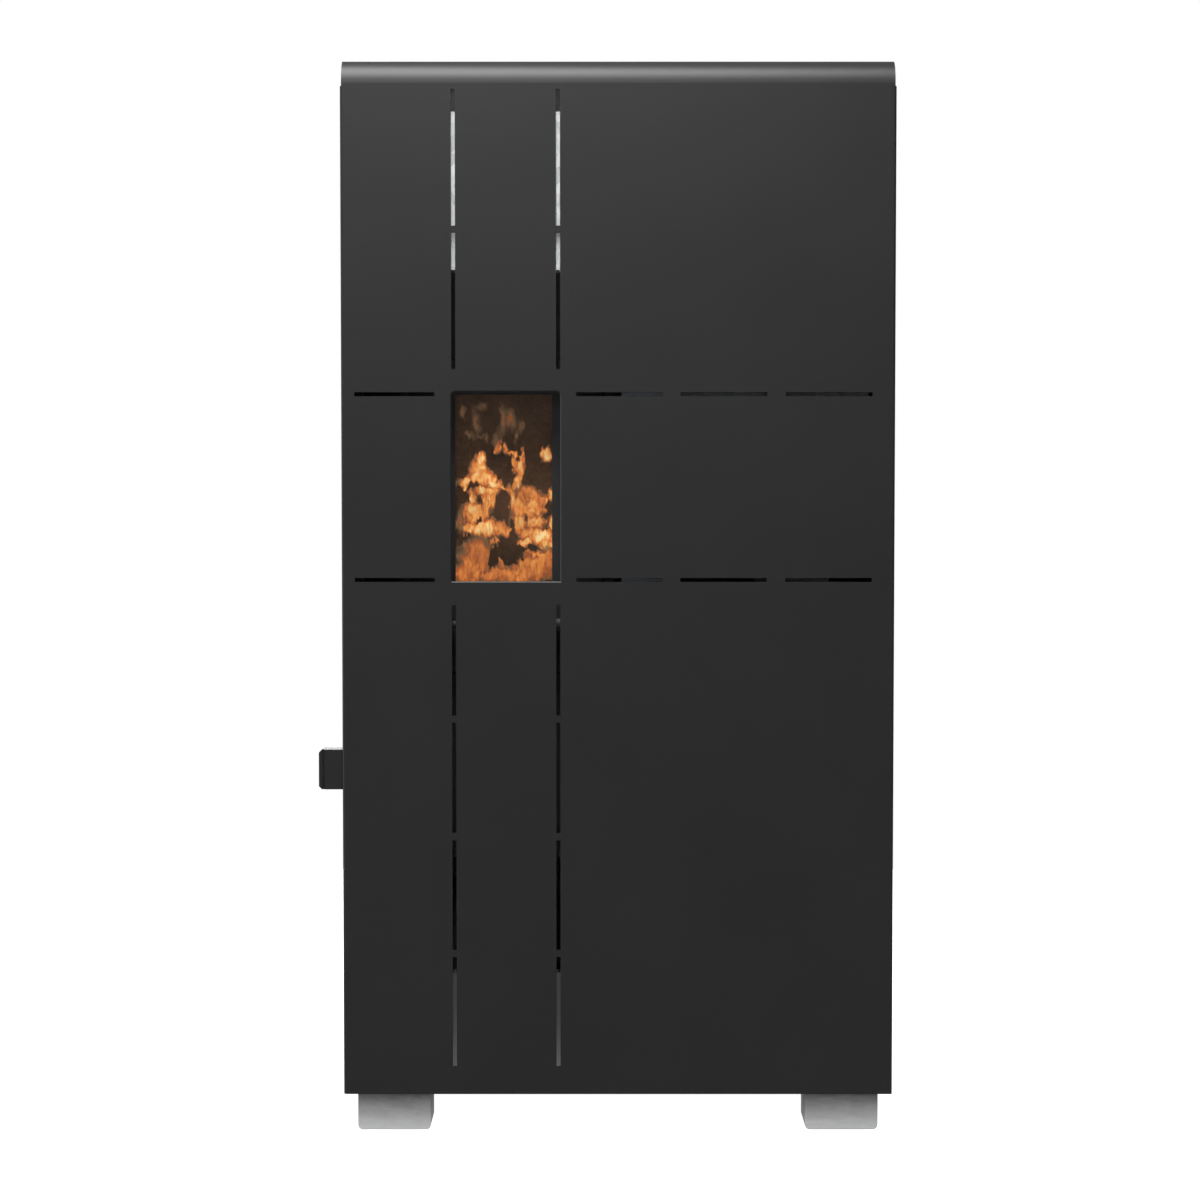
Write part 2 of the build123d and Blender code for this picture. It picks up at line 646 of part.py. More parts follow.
def make_casing_fasteners():
    """The foot bolts and the pan-head screws of the rear panel."""
    screws = foot_bolts()
    for x, z in rear_screw_places():
        head = rod((x, BACK, z), (x, BACK + SCREW_HEAD_HEIGHT, z), SCREW_HEAD_RADIUS)
        head = fillet(head.edges().group_by(Axis.Y)[-1], SCREW_HEAD_HEIGHT / 2)
        screws.append(head + rod((x, REAR_INNER, z), (x, BACK, z), SCREW_RADIUS))
    return group(screws)


def lid_opening():
    """The hole in the top cover that the hopper lid fills."""
    return block(LID_LEFT - LID_GAP, LID_RIGHT + LID_GAP, LID_FRONT - LID_GAP - LID_FINGER_DEPTH,
                 LID_AXIS_Y + LID_REAR_GAP, COVER_UNDER, STOVE_HEIGHT)


def make_top_cover():
    """Top sheet with the lid opening, the warm-air slots and the control panel's cut-out."""
    cover = block(-HALF_WIDTH, HALF_WIDTH, CASING_FRONT, BACK, COVER_UNDER, STOVE_HEIGHT)
    cover = fillet(cover.edges().filter_by(Axis.Z).group_by(Axis.Y)[-1], CASING_SHEET)
    cover -= lid_opening()
    for y_off in spread(GRILLE_COUNT, GRILLE_PITCH):
        y = PLENUM_NECK_Y + y_off
        cover -= block(FIREBOX_X - PLENUM_NECK_WIDTH / 2 + GRILLE_SLOT, FIREBOX_X - GRILLE_SLOT,
                       y - GRILLE_SLOT / 2, y + GRILLE_SLOT / 2, COVER_UNDER, STOVE_HEIGHT)
        cover -= block(FIREBOX_X + GRILLE_SLOT, FIREBOX_X + PLENUM_NECK_WIDTH / 2 - GRILLE_SLOT,
                       y - GRILLE_SLOT / 2, y + GRILLE_SLOT / 2, COVER_UNDER, STOVE_HEIGHT)
    cover -= block(PANEL_X - PANEL_WIDTH / 2, PANEL_X + PANEL_WIDTH / 2, PANEL_Y - PANEL_DEPTH / 2,
                   PANEL_Y + PANEL_DEPTH / 2, COVER_UNDER, STOVE_HEIGHT)
    return cover


def make_lower_apron():
    """Light sheet that closes the front below the firebox, behind the lowest slots."""
    apron = block(FIREBOX_LEFT, FIREBOX_RIGHT, RETURN_BACK - CASING_SHEET, RETURN_BACK, FOOT_HEIGHT, APRON_TOP)
    apron += block(FIREBOX_LEFT, FIREBOX_RIGHT, RETURN_BACK, FIREBOX_FRONT, APRON_TOP - CASING_SHEET, APRON_TOP)
    return apron


def make_partition_plate():
    """Upright sheet between the firebox side and the hopper side, with a bent front edge."""
    x_low = FIREBOX_RIGHT + PARTITION_GAP
    x_high = x_low + CASING_SHEET
    pan_rim = PAN_TOP + PAN_WALL_HEIGHT
    plate = block(x_low, x_high, RETURN_BACK, REAR_INNER, pan_rim, COVER_UNDER)
    plate += block(x_low, x_high, RETURN_BACK + CASING_SHEET, REAR_INNER - CASING_SHEET, PAN_TOP, pan_rim)
    plate += block(x_low, HOPPER_LEFT + CASING_RETURN * 2, RETURN_BACK, RETURN_BACK + CASING_SHEET,
                   FIREBOX_BOTTOM, PLENUM_TOP)
    plate -= auger_hull(AUGER_TUBE_RADIUS + AUGER_GAP)
    plate -= block(x_low, x_high, FIREBOX_BACK, REAR_INNER, EXHAUST_Z - EXHAUST_RADIUS,
                   FLUE_Z + FLUE_RADIUS + PROBE_REACH + FLUE_HOLE_GAP)
    return plate


# ---------------------------------------------------------------- front door
def roll_profile():
    """Section of the roll at the door's top: short straight run, quarter roll and a flat end."""
    top_y = FRONT + ROLL_RADIUS
    end_y = top_y + ROLL_FLAT
    inner_roll = ROLL_RADIUS - DOOR_SHEET
    inner_top = STOVE_HEIGHT - DOOR_SHEET
    half = math.sqrt(0.5)
    outer_middle = (top_y - ROLL_RADIUS * half, ROLL_START + ROLL_RADIUS * half)
    inner_middle = (top_y - inner_roll * half, ROLL_START + inner_roll * half)
    with BuildSketch(Plane.YZ) as profile:
        with BuildLine():
            Line((FRONT, FOLD_TOP), (FRONT, ROLL_START))
            ThreePointArc((FRONT, ROLL_START), outer_middle, (top_y, STOVE_HEIGHT))
            Line((top_y, STOVE_HEIGHT), (end_y, STOVE_HEIGHT))
            Line((end_y, STOVE_HEIGHT), (end_y, inner_top))
            Line((end_y, inner_top), (top_y, inner_top))
            ThreePointArc((top_y, inner_top), inner_middle, (DOOR_INNER, ROLL_START))
            Line((DOOR_INNER, ROLL_START), (DOOR_INNER, FOLD_TOP))
            Line((DOOR_INNER, FOLD_TOP), (FRONT, FOLD_TOP))
        make_face()
    return profile.sketch


def slot_cutters():
    """The slots that quarter the door."""
    cutters = []
    half = SLOT_WIDTH / 2
    rows = ((UPPER_SLOT_TOP, UPPER_SLOT_LENGTH, UPPER_SLOT_COUNT),
            (LOWER_SLOT_TOP, LOWER_SLOT_LENGTH, LOWER_SLOT_COUNT))
    for x in (WINDOW_CENTRE_X - SLOT_OFFSET, WINDOW_CENTRE_X + SLOT_OFFSET):
        for top, length, count in rows:
            for index in range(count):
                z_high = top - index * (length + SLOT_WEB)
                cutters.append(block(x - half, x + half, FRONT, DOOR_INNER, z_high - length, z_high))
    cross_slots = [(OUTER_SLOT_X, OUTER_SLOT_LENGTH)] + [(x, INNER_SLOT_LENGTH) for x in INNER_SLOT_XS]
    for z in CROSS_SLOT_LEVELS:
        for x, length in cross_slots:
            cutters.append(block(x - length / 2, x + length / 2, FRONT, DOOR_INNER, z - half, z + half))
    return cutters


def window_outline(margin):
    """Outline of the window cut-out, larger by a margin, with rounded upper corners."""
    width = WINDOW_WIDTH + 2 * margin
    height = WINDOW_HEIGHT + 2 * margin
    outline = Rectangle(width, height)
    return fillet(outline.vertices().group_by(Axis.Y)[-1], WINDOW_CORNER + margin)


def window_cutter():
    """The window cut-out, which flares towards the front."""
    centre_z = WINDOW_TOP - WINDOW_HEIGHT / 2
    inner = Plane(origin=(WINDOW_CENTRE_X, DOOR_INNER, centre_z), x_dir=(1, 0, 0), z_dir=(0, -1, 0))
    middle = Plane(origin=(WINDOW_CENTRE_X, FRONT + WINDOW_CHAMFER, centre_z), x_dir=(1, 0, 0), z_dir=(0, -1, 0))
    outer = Plane(origin=(WINDOW_CENTRE_X, FRONT, centre_z), x_dir=(1, 0, 0), z_dir=(0, -1, 0))
    hole = extrude(inner * window_outline(0), DOOR_SHEET)
    flare = loft([middle * window_outline(0).face(), outer * window_outline(WINDOW_CHAMFER).face()])
    return hole + flare


def make_front_panel():
    """Front door: one folded sheet with its roll, side folds, magnet lip and hinge lugs."""
    panel = block(-HALF_WIDTH, HALF_WIDTH, FRONT, DOOR_INNER, DOOR_BOTTOM, FOLD_TOP)
    panel = fillet(panel.edges().filter_by(Axis.Z).group_by(Axis.Y)[0], DOOR_BEND)
    for side in (-1, 1):
        x_low, x_high = sorted((side * HALF_WIDTH, side * (HALF_WIDTH - DOOR_SHEET)))
        panel += block(x_low, x_high, DOOR_INNER, DOOR_BACK, FOLD_BOTTOM, FOLD_TOP)
    lip_high = -HALF_WIDTH + LIP_WIDTH
    panel += block(-HALF_WIDTH, lip_high, DOOR_BACK - DOOR_SHEET, DOOR_BACK, FOLD_BOTTOM, FOLD_TOP)
    roll_half = HALF_WIDTH - ROLL_STEP
    panel += Pos(-roll_half, 0, 0) * extrude(roll_profile(), roll_half * 2)
    fold_inner = HALF_WIDTH - DOOR_SHEET
    for z_low in (LOWER_LUG_BOTTOM, UPPER_LUG_TOP - LUG_THICKNESS):
        z_high = z_low + LUG_THICKNESS
        panel += block(fold_inner - LUG_WIDTH, fold_inner, DOOR_INNER, DOOR_BACK, z_low, z_high)
        panel -= rod((HINGE_X, HINGE_Y, z_low), (HINGE_X, HINGE_Y, z_high), HINGE_PIN_RADIUS)
    panel -= slot_cutters()
    panel -= window_cutter()
    return panel


def make_door_handle():
    """Short pull on the door's left fold: a rim, a groove and a finger hollow behind."""
    x_low = -HALF_WIDTH - HANDLE_REACH
    z_high = HANDLE_BOTTOM + HANDLE_HEIGHT
    y_low = DOOR_BACK - HANDLE_DEPTH - DOOR_SHEET
    y_high = DOOR_BACK - DOOR_SHEET
    handle = block(x_low, -HALF_WIDTH, y_low, y_high, HANDLE_BOTTOM, z_high)
    handle = chamfer(handle.edges().filter_by(Axis.Y).group_by(Axis.X)[0], HANDLE_CHAMFER)
    groove = x_low + HANDLE_RIM
    handle -= block(groove, groove + HANDLE_GROOVE, y_low, y_low + HANDLE_GROOVE, HANDLE_BOTTOM, z_high)
    handle -= block(groove, -HALF_WIDTH - HANDLE_RIM, y_high - HANDLE_HOLLOW, y_high,
                    HANDLE_BOTTOM + HANDLE_RIM, z_high - HANDLE_RIM)
    return handle


def make_door_hinge_pins():
    """Two hinge pins pressed into the door's lugs; the lower one has a collar that carries the door."""
    lower_bottom = LOWER_BRACKET_TOP - HINGE_BRACKET_THICKNESS
    lower = rod((HINGE_X, HINGE_Y, lower_bottom), (HINGE_X, HINGE_Y, LOWER_LUG_BOTTOM + LUG_THICKNESS),
                HINGE_PIN_RADIUS)
    lower += rod((HINGE_X, HINGE_Y, LOWER_LUG_BOTTOM), (HINGE_X, HINGE_Y, LOWER_BRACKET_TOP + HINGE_PIN_CLEARANCE),
                 HINGE_COLLAR_RADIUS)
    upper_top = UPPER_BRACKET_BOTTOM + HINGE_BRACKET_THICKNESS + HINGE_PIN_OVERRUN
    upper = rod((HINGE_X, HINGE_Y, UPPER_LUG_TOP - LUG_THICKNESS), (HINGE_X, HINGE_Y, upper_top), HINGE_PIN_RADIUS)
    return group([lower, upper])


def make_hinge_brackets():
    """Lower bracket on the pan and upper bracket on the right side panel's bent edge."""
    half = HINGE_COLLAR_RADIUS + 0.5
    bore = HINGE_PIN_RADIUS + HINGE_PIN_CLEARANCE
    top = LOWER_BRACKET_TOP
    bottom = top - HINGE_BRACKET_THICKNESS
    lower = block(HINGE_X - half - LIP_WIDTH / 2, INNER_X - CASING_SHEET, CASING_FRONT, CASING_FRONT + FOOT_DEPTH,
                  bottom, top)
    lower += block(HINGE_X - half, HINGE_X + half, HINGE_Y, CASING_FRONT, bottom, top)
    lower += rod((HINGE_X, HINGE_Y, bottom), (HINGE_X, HINGE_Y, top), half)
    lower -= rod((HINGE_X, HINGE_Y, bottom), (HINGE_X, HINGE_Y, top), bore)
    bottom = UPPER_BRACKET_BOTTOM
    top = bottom + HINGE_BRACKET_THICKNESS
    upper = block(HINGE_X - half, HINGE_X + half, HINGE_Y, CASING_FRONT, bottom, top)
    upper += rod((HINGE_X, HINGE_Y, bottom), (HINGE_X, HINGE_Y, top), half)
    upper += block(HINGE_X - half - LIP_WIDTH / 2, HALF_WIDTH - DOOR_SHEET, CASING_FRONT - HINGE_BRACKET_THICKNESS,
                   CASING_FRONT, bottom, STOVE_HEIGHT - ROLL_FLAT)
    upper -= rod((HINGE_X, HINGE_Y, bottom), (HINGE_X, HINGE_Y, top), bore)
    return group([lower, upper])


def make_door_magnets():
    """Two magnets on the left side panel's bent edge, which hold the door's lip."""
    x_low = -HALF_WIDTH + DOOR_SHEET + CASING_SHEET
    magnets = []
    for z in MAGNET_LEVELS:
        magnets.append(block(x_low, x_low + MAGNET_SIZE, DOOR_BACK + RUNNING_GAP, CASING_FRONT,
                             z - MAGNET_HEIGHT / 2, z + MAGNET_HEIGHT / 2))
    return group(magnets)


# ---------------------------------------------------------------- fire door
def knuckle_span(z_low):
    """Lowest and highest level of a fire door knuckle."""
    return z_low, z_low + KNUCKLE_HEIGHT


def make_fire_door():
    """Cast frame of the fire door, with its sight opening, glass rebate and hinge knuckles."""
    frame = block(FIRE_DOOR_LEFT, FIRE_DOOR_RIGHT, FIRE_DOOR_FRONT, FIRE_DOOR_BACK, FIRE_DOOR_BOTTOM, FIRE_DOOR_TOP)
    frame = fillet(frame.edges().filter_by(Axis.Y), FIRE_DOOR_CORNER)
    frame = chamfer(frame.faces().sort_by(Axis.Y)[0].edges(), FIRE_DOOR_CHAMFER)
    sight_low = SIGHT_X - SIGHT_WIDTH / 2
    sight_high = SIGHT_X + SIGHT_WIDTH / 2
    frame -= block(sight_low, sight_high, FIRE_DOOR_FRONT, FIRE_DOOR_BACK, SIGHT_BOTTOM, SIGHT_TOP)
    margin = GLASS_MARGIN + GLASS_FIT
    frame -= block(sight_low - margin, sight_high + margin, FIRE_DOOR_BACK - GLASS_THICKNESS - CLIP_THICKNESS,
                   FIRE_DOOR_BACK, SIGHT_BOTTOM - margin, SIGHT_TOP + margin)
    for level in KNUCKLE_LEVELS:
        z_low, z_high = knuckle_span(level)
        knuckle = rod((FIRE_HINGE_X, FIRE_HINGE_Y, z_low), (FIRE_HINGE_X, FIRE_HINGE_Y, z_high), KNUCKLE_RADIUS)
        knuckle += block(FIRE_DOOR_RIGHT - FIRE_DOOR_CORNER, FIRE_HINGE_X, FIRE_DOOR_FRONT + 2.0,
                         FIRE_HINGE_Y + FIRE_HINGE_BACK, z_low, z_high)
        frame += knuckle
        frame -= rod((FIRE_HINGE_X, FIRE_HINGE_Y, z_low), (FIRE_HINGE_X, FIRE_HINGE_Y, z_high),
                     FIRE_PIN_RADIUS + FIRE_PIN_CLEARANCE)
    frame -= rod((LATCH_X, FIRE_DOOR_FRONT, LATCH_LEVEL), (LATCH_X, FIRE_DOOR_BACK, LATCH_LEVEL),
                 LATCH_PIVOT_RADIUS + LATCH_PIVOT_CLEARANCE)
    return frame


def fire_door_hinge_arms():
    """Two hinge arms on the firebox, each with a pin that stands up into a knuckle."""
    arms = []
    for level in KNUCKLE_LEVELS:
        top = level - RUNNING_GAP
        bottom = top - HINGE_ARM_THICKNESS
        arm = block(FIRE_HINGE_X - HINGE_ARM_RADIUS, FIRE_HINGE_X + HINGE_ARM_RADIUS, FIRE_HINGE_Y, FIREBOX_FRONT,
                    bottom, top)
        arm += rod((FIRE_HINGE_X, FIRE_HINGE_Y, bottom), (FIRE_HINGE_X, FIRE_HINGE_Y, top), HINGE_ARM_RADIUS)
        arm += rod((FIRE_HINGE_X, FIRE_HINGE_Y, bottom), (FIRE_HINGE_X, FIRE_HINGE_Y, level + KNUCKLE_HEIGHT),
                   FIRE_PIN_RADIUS)
        arms.append(arm)
    return arms


def make_door_glass():
    """Ceramic glass in the frame's rebate."""
    x_half = SIGHT_WIDTH / 2 + GLASS_MARGIN
    y_high = FIRE_DOOR_BACK - CLIP_THICKNESS
    return block(SIGHT_X - x_half, SIGHT_X + x_half, y_high - GLASS_THICKNESS, y_high,
                 SIGHT_BOTTOM - GLASS_MARGIN, SIGHT_TOP + GLASS_MARGIN)


def make_glass_clips():
    """Two flat clips, above and below, that hold the glass in the rebate."""
    x_half = SIGHT_WIDTH / 2 + GLASS_MARGIN
    clips = []
    for z_low in (SIGHT_BOTTOM - GLASS_MARGIN, SIGHT_TOP + GLASS_MARGIN - CLIP_WIDTH / 2):
        clips.append(block(SIGHT_X - x_half, SIGHT_X + x_half, FIRE_DOOR_BACK - CLIP_THICKNESS,
                           FIRE_DOOR_BACK, z_low, z_low + CLIP_WIDTH / 2))
    return group(clips)


def make_door_seal():
    """Rope seal round the back of the fire door's frame."""
    return ring_frame(FIRE_DOOR_LEFT + SEAL_EDGE, FIRE_DOOR_RIGHT - SEAL_EDGE, FIRE_DOOR_BACK,
                      FIREBOX_FRONT - RUNNING_GAP, FIRE_DOOR_BOTTOM + SEAL_EDGE, FIRE_DOOR_TOP - SEAL_EDGE,
                      SEAL_WIDTH)


def make_fire_door_latch():
    """Latch: a spindle through the frame, a nose beside the firebox mouth and a long lever with a grip."""
    front = FIRE_DOOR_FRONT - LATCH_STAND_OFF
    latch = rod((LATCH_X, front - LATCH_BAR, LATCH_LEVEL), (LATCH_X, FIRE_DOOR_BACK, LATCH_LEVEL),
                LATCH_PIVOT_RADIUS)
    latch += rod((LATCH_X, front - LATCH_BAR, LATCH_LEVEL), (LATCH_X, FIRE_DOOR_FRONT - RUNNING_GAP, LATCH_LEVEL),
                 LATCH_BOSS_RADIUS)
    bar_y = front - LATCH_BAR / 2
    end_x = LATCH_X + LATCH_REACH
    grip_x = end_x - LATCH_REACH / 3
    latch += rod((LATCH_X, bar_y, LATCH_LEVEL), (grip_x + LATCH_BAR, bar_y, LATCH_LEVEL), LATCH_BAR_RADIUS)
    grip = rod((grip_x, bar_y, LATCH_LEVEL), (end_x, bar_y, LATCH_LEVEL), LATCH_GRIP_RADIUS)
    latch += fillet(grip.edges(), LATCH_BAR / 4)
    nose_back = FIREBOX_FRONT - RUNNING_GAP
    latch += rod((LATCH_X, FIRE_DOOR_BACK, LATCH_LEVEL), (LATCH_X, nose_back, LATCH_LEVEL), LATCH_PIVOT_RADIUS)
    return latch


# ---------------------------------------------------------------- firebox
def pot_span():
    """Lowest and highest X and Y of the burn pot's body."""
    half = POT_SIZE / 2
    return FIREBOX_X - half, FIREBOX_X + half, POT_CENTRE_Y - half, POT_CENTRE_Y + half


def tube_centres():
    """X of each exchanger tube."""
    return [FIREBOX_X + x_off for x_off in spread(TUBE_COUNT, TUBE_PITCH)]


def chute_run(margin):
    """The sloping run of the drop chute from the auger's upper end to the firebox, grown by a margin."""
    half = CHUTE_WIDTH / 2 + margin
    top = AUGER_HIGH.Z - AUGER_TUBE_RADIUS
    low = top - CHUTE_DROP
    front = CHAMBER_BACK - LINING_BACK
    back = AUGER_Y + AUGER_TUBE_RADIUS
    rise = margin / math.cos(math.atan2(CHUTE_DROP, back - front))
    points = [(front, low - CHUTE_HEIGHT - rise), (back + margin, top - CHUTE_HEIGHT - rise),
              (back + margin, top + CHUTE_HEIGHT / 2 + rise), (AUGER_Y - AUGER_TUBE_RADIUS, top + rise),
              (front, low + rise)]
    with BuildSketch(Plane.YZ) as side:
        with BuildLine():
            Polyline(*points, close=True)
        make_face()
    return Pos(CHUTE_X - half, 0, 0) * extrude(side.sketch, half * 2)


def make_firebox_shell():
    """Welded firebox: fire chamber, ash bay, pot cradle, drawer runners, door hinge arms and every port."""
    shell = block(FIREBOX_LEFT, FIREBOX_RIGHT, FIREBOX_FRONT, FIREBOX_BACK, FIREBOX_BOTTOM, FIREBOX_TOP)
    shell -= block(CHAMBER_LEFT, CHAMBER_RIGHT, CHAMBER_FRONT, CHAMBER_BACK, DECK_TOP, FIREBOX_TOP - FIREBOX_WALL)
    shell -= block(CHAMBER_LEFT, CHAMBER_RIGHT, CHAMBER_FRONT, CHAMBER_BACK, FIREBOX_BOTTOM + FIREBOX_WALL,
                   DECK_TOP - DECK_THICKNESS)
    half = MOUTH_WIDTH / 2
    shell -= block(FIREBOX_X - half, FIREBOX_X + half, FIREBOX_FRONT, CHAMBER_FRONT, MOUTH_BOTTOM, MOUTH_TOP)
    shell -= block(FIREBOX_X - half, FIREBOX_X + half, FIREBOX_FRONT, CHAMBER_FRONT, ASH_MOUTH_BOTTOM, ASH_MOUTH_TOP)
    half = ASH_HOLE / 2
    shell -= block(FIREBOX_X - half, FIREBOX_X + half, POT_CENTRE_Y - half, POT_CENTRE_Y + half,
                   DECK_TOP - DECK_THICKNESS, DECK_TOP)
    for x in tube_centres():
        shell -= rod((x, FIREBOX_FRONT, TUBE_LEVEL), (x, FIREBOX_BACK, TUBE_LEVEL), TUBE_RADIUS)
    half = SMOKE_WIDTH / 2 - SMOKE_SHEET
    shell -= block(FIREBOX_X - half, FIREBOX_X + half, CHAMBER_BACK, FIREBOX_BACK, SMOKE_PORT_BOTTOM, SMOKE_PORT_TOP)
    shell -= rod((AIR_PIPE_X, CHAMBER_BACK, AIR_PIPE_Z), (AIR_PIPE_X, FIREBOX_BACK, AIR_PIPE_Z),
                 AIR_PIPE_RADIUS - AIR_PIPE_WALL)
    shell -= rod((FIREBOX_X, CHAMBER_BACK, IGNITER_LEVEL), (FIREBOX_X, FIREBOX_BACK, IGNITER_LEVEL),
                 IGNITER_SLEEVE_RADIUS)
    shell -= chute_run(CHUTE_SHEET)
    return shell + pot_cradle() + drawer_runners() + fire_door_hinge_arms()


def make_firebox_lining():
    """Three lining plates: the back one has holes for the chute and the igniter."""
    top = LINING_TOP
    back_front = CHAMBER_BACK - LINING_BACK
    back = block(CHAMBER_LEFT, CHAMBER_RIGHT, back_front, CHAMBER_BACK, DECK_TOP, top)
    back -= chute_run(CHUTE_SHEET)
    back -= rod((FIREBOX_X, back_front, IGNITER_LEVEL), (FIREBOX_X, CHAMBER_BACK, IGNITER_LEVEL),
                IGNITER_SLEEVE_RADIUS)
    left = block(CHAMBER_LEFT, CHAMBER_LEFT + LINING_SIDE, CHAMBER_FRONT, back_front, DECK_TOP, top)
    right = block(CHAMBER_RIGHT - LINING_SIDE, CHAMBER_RIGHT, CHAMBER_FRONT, back_front, DECK_TOP, top)
    return group([back, left, right])


def make_baffle_plate():
    """Baffle that rests on the lining plates and leaves a way up at the front."""
    return block(CHAMBER_LEFT + BAFFLE_SIDE_GAP, CHAMBER_RIGHT - BAFFLE_SIDE_GAP, CHAMBER_FRONT + BAFFLE_FRONT_GAP,
                 CHAMBER_BACK - BAFFLE_SIDE_GAP, LINING_TOP, LINING_TOP + BAFFLE_THICKNESS)


def make_exchanger_tubes():
    """Row of air tubes through the top of the firebox."""
    return group(pipe((x, FIREBOX_FRONT, TUBE_LEVEL), (x, FIREBOX_BACK, TUBE_LEVEL), TUBE_RADIUS, TUBE_WALL)
                 for x in tube_centres())


def pot_cradle():
    """Square collar on the deck that the burn pot hangs in."""
    x_low, x_high, y_low, y_high = pot_span()
    inner = POT_CLEARANCE
    outer = POT_CLEARANCE + CRADLE_WALL
    cradle = block(x_low - outer, x_high + outer, y_low - outer, y_high + outer, DECK_TOP, CRADLE_TOP)
    cradle -= block(x_low - inner, x_high + inner, y_low - inner, y_high + inner, DECK_TOP, CRADLE_TOP)
    return cradle


def make_burn_pot():
    """Cast burn pot with a flange, a drilled floor and rows of air holes."""
    x_low, x_high, y_low, y_high = pot_span()
    pot = block(x_low, x_high, y_low, y_high, POT_BOTTOM, POT_TOP)
    pot = fillet(pot.edges().filter_by(Axis.Z), POT_WALL)
    flange_low = CRADLE_TOP + RUNNING_GAP
    pot += block(x_low - POT_FLANGE, x_high + POT_FLANGE, y_low - POT_FLANGE, y_high + POT_FLANGE, flange_low,
                 flange_low + POT_FLANGE_THICKNESS)
    pot -= block(x_low + POT_WALL, x_high - POT_WALL, y_low + POT_WALL, y_high - POT_WALL,
                 POT_BOTTOM + POT_WALL, POT_TOP)
    holes = []
    for x_off in spread(POT_HOLE_COUNT, POT_HOLE_PITCH):
        for y_off in spread(POT_HOLE_COUNT, POT_HOLE_PITCH):
            x = FIREBOX_X + x_off
            y = POT_CENTRE_Y + y_off
            holes.append(rod((x, y, POT_BOTTOM), (x, y, POT_BOTTOM + POT_WALL), POT_HOLE_RADIUS))
        x = FIREBOX_X + x_off
        z = POT_TOP - POT_HOLE_PITCH
        holes.append(rod((x, y_low, z), (x, y_high, z), POT_SIDE_HOLE_RADIUS))
    return pot - holes


def make_igniter():
    """Igniter rod in its sleeve, from behind the firebox to the burn pot."""
    pot_back = POT_CENTRE_Y + POT_SIZE / 2 + POT_FLANGE
    tail = FIREBOX_BACK + IGNITER_TAIL
    sleeve_front = CHAMBER_BACK - LINING_BACK
    igniter = rod((FIREBOX_X, pot_back + POT_CLEARANCE, IGNITER_LEVEL), (FIREBOX_X, tail, IGNITER_LEVEL),
                  IGNITER_RADIUS)
    igniter += rod((FIREBOX_X, sleeve_front, IGNITER_LEVEL), (FIREBOX_X, FIREBOX_BACK, IGNITER_LEVEL),
                   IGNITER_SLEEVE_RADIUS)
    return igniter


def make_firebox_stand():
    """Two folded side plates that carry the firebox above the pan, and a cross tie at the front."""
    left = block(FIREBOX_LEFT, FIREBOX_LEFT + STAND_SHEET, FIREBOX_FRONT, FIREBOX_BACK, PAN_TOP, FIREBOX_BOTTOM)
    right = block(FIREBOX_RIGHT - STAND_SHEET, FIREBOX_RIGHT, FIREBOX_FRONT, FIREBOX_BACK, PAN_TOP, FIREBOX_BOTTOM)
    plates = []
    for plate, way in ((left, 1), (right, -1)):
        edge = FIREBOX_LEFT if way > 0 else FIREBOX_RIGHT
        leaf = sorted((edge, edge + way * STAND_FLANGE))
        plate += block(leaf[0], leaf[1], FIREBOX_FRONT, BLOWER_Y - BLOWER_RADIUS, FIREBOX_BOTTOM - STAND_SHEET,
                       FIREBOX_BOTTOM)
        plate += block(leaf[0], leaf[1], FIREBOX_FRONT, BLOWER_Y - BLOWER_RADIUS, PAN_TOP, PAN_TOP + STAND_SHEET)
        plate -= rod((FIREBOX_LEFT, BLOWER_Y, BLOWER_Z), (FIREBOX_RIGHT, BLOWER_Y, BLOWER_Z), BLOWER_EYE_RADIUS)
        plates.append(plate)
    tie = block(FIREBOX_LEFT, FIREBOX_RIGHT, FIREBOX_FRONT, FIREBOX_FRONT + STAND_SHEET,
                FIREBOX_BOTTOM - STAND_FLANGE * 2, FIREBOX_BOTTOM)
    return plates[0] + plates[1] + tie


def make_ash_drawer():
    """Ash drawer: folded tray, closing face and bar pull."""
    half = MOUTH_WIDTH / 2 - DRAWER_SIDE_GAP
    bottom = ASH_MOUTH_BOTTOM + RUNNING_GAP
    front = FIREBOX_FRONT - RUNNING_GAP
    drawer = tray(FIREBOX_X - half, FIREBOX_X + half, front, front + DRAWER_DEPTH, bottom, bottom + DRAWER_HEIGHT,
                  DRAWER_SHEET)
    face_half = MOUTH_WIDTH / 2 + DRAWER_FACE_MARGIN
    face_front = front - DRAWER_FACE_THICKNESS
    drawer += block(FIREBOX_X - face_half, FIREBOX_X + face_half, face_front, front,
                    ASH_MOUTH_BOTTOM - DRAWER_FACE_MARGIN / 2, ASH_MOUTH_TOP + DRAWER_FACE_MARGIN)
    pull_y = face_front - DRAWER_PULL_REACH + DRAWER_PULL_RADIUS
    pull_z = (ASH_MOUTH_BOTTOM + ASH_MOUTH_TOP) / 2
    pull_half = DRAWER_PULL_WIDTH / 2
    drawer += rod((FIREBOX_X - pull_half, pull_y, pull_z), (FIREBOX_X + pull_half, pull_y, pull_z),
                  DRAWER_PULL_RADIUS)
    post = pull_half - DRAWER_PULL_RADIUS - DRAWER_POST_INSET
    for x in (FIREBOX_X - post, FIREBOX_X + post):
        drawer += rod((x, pull_y, pull_z), (x, face_front, pull_z), DRAWER_PULL_RADIUS * DRAWER_POST_SHARE)
    return drawer


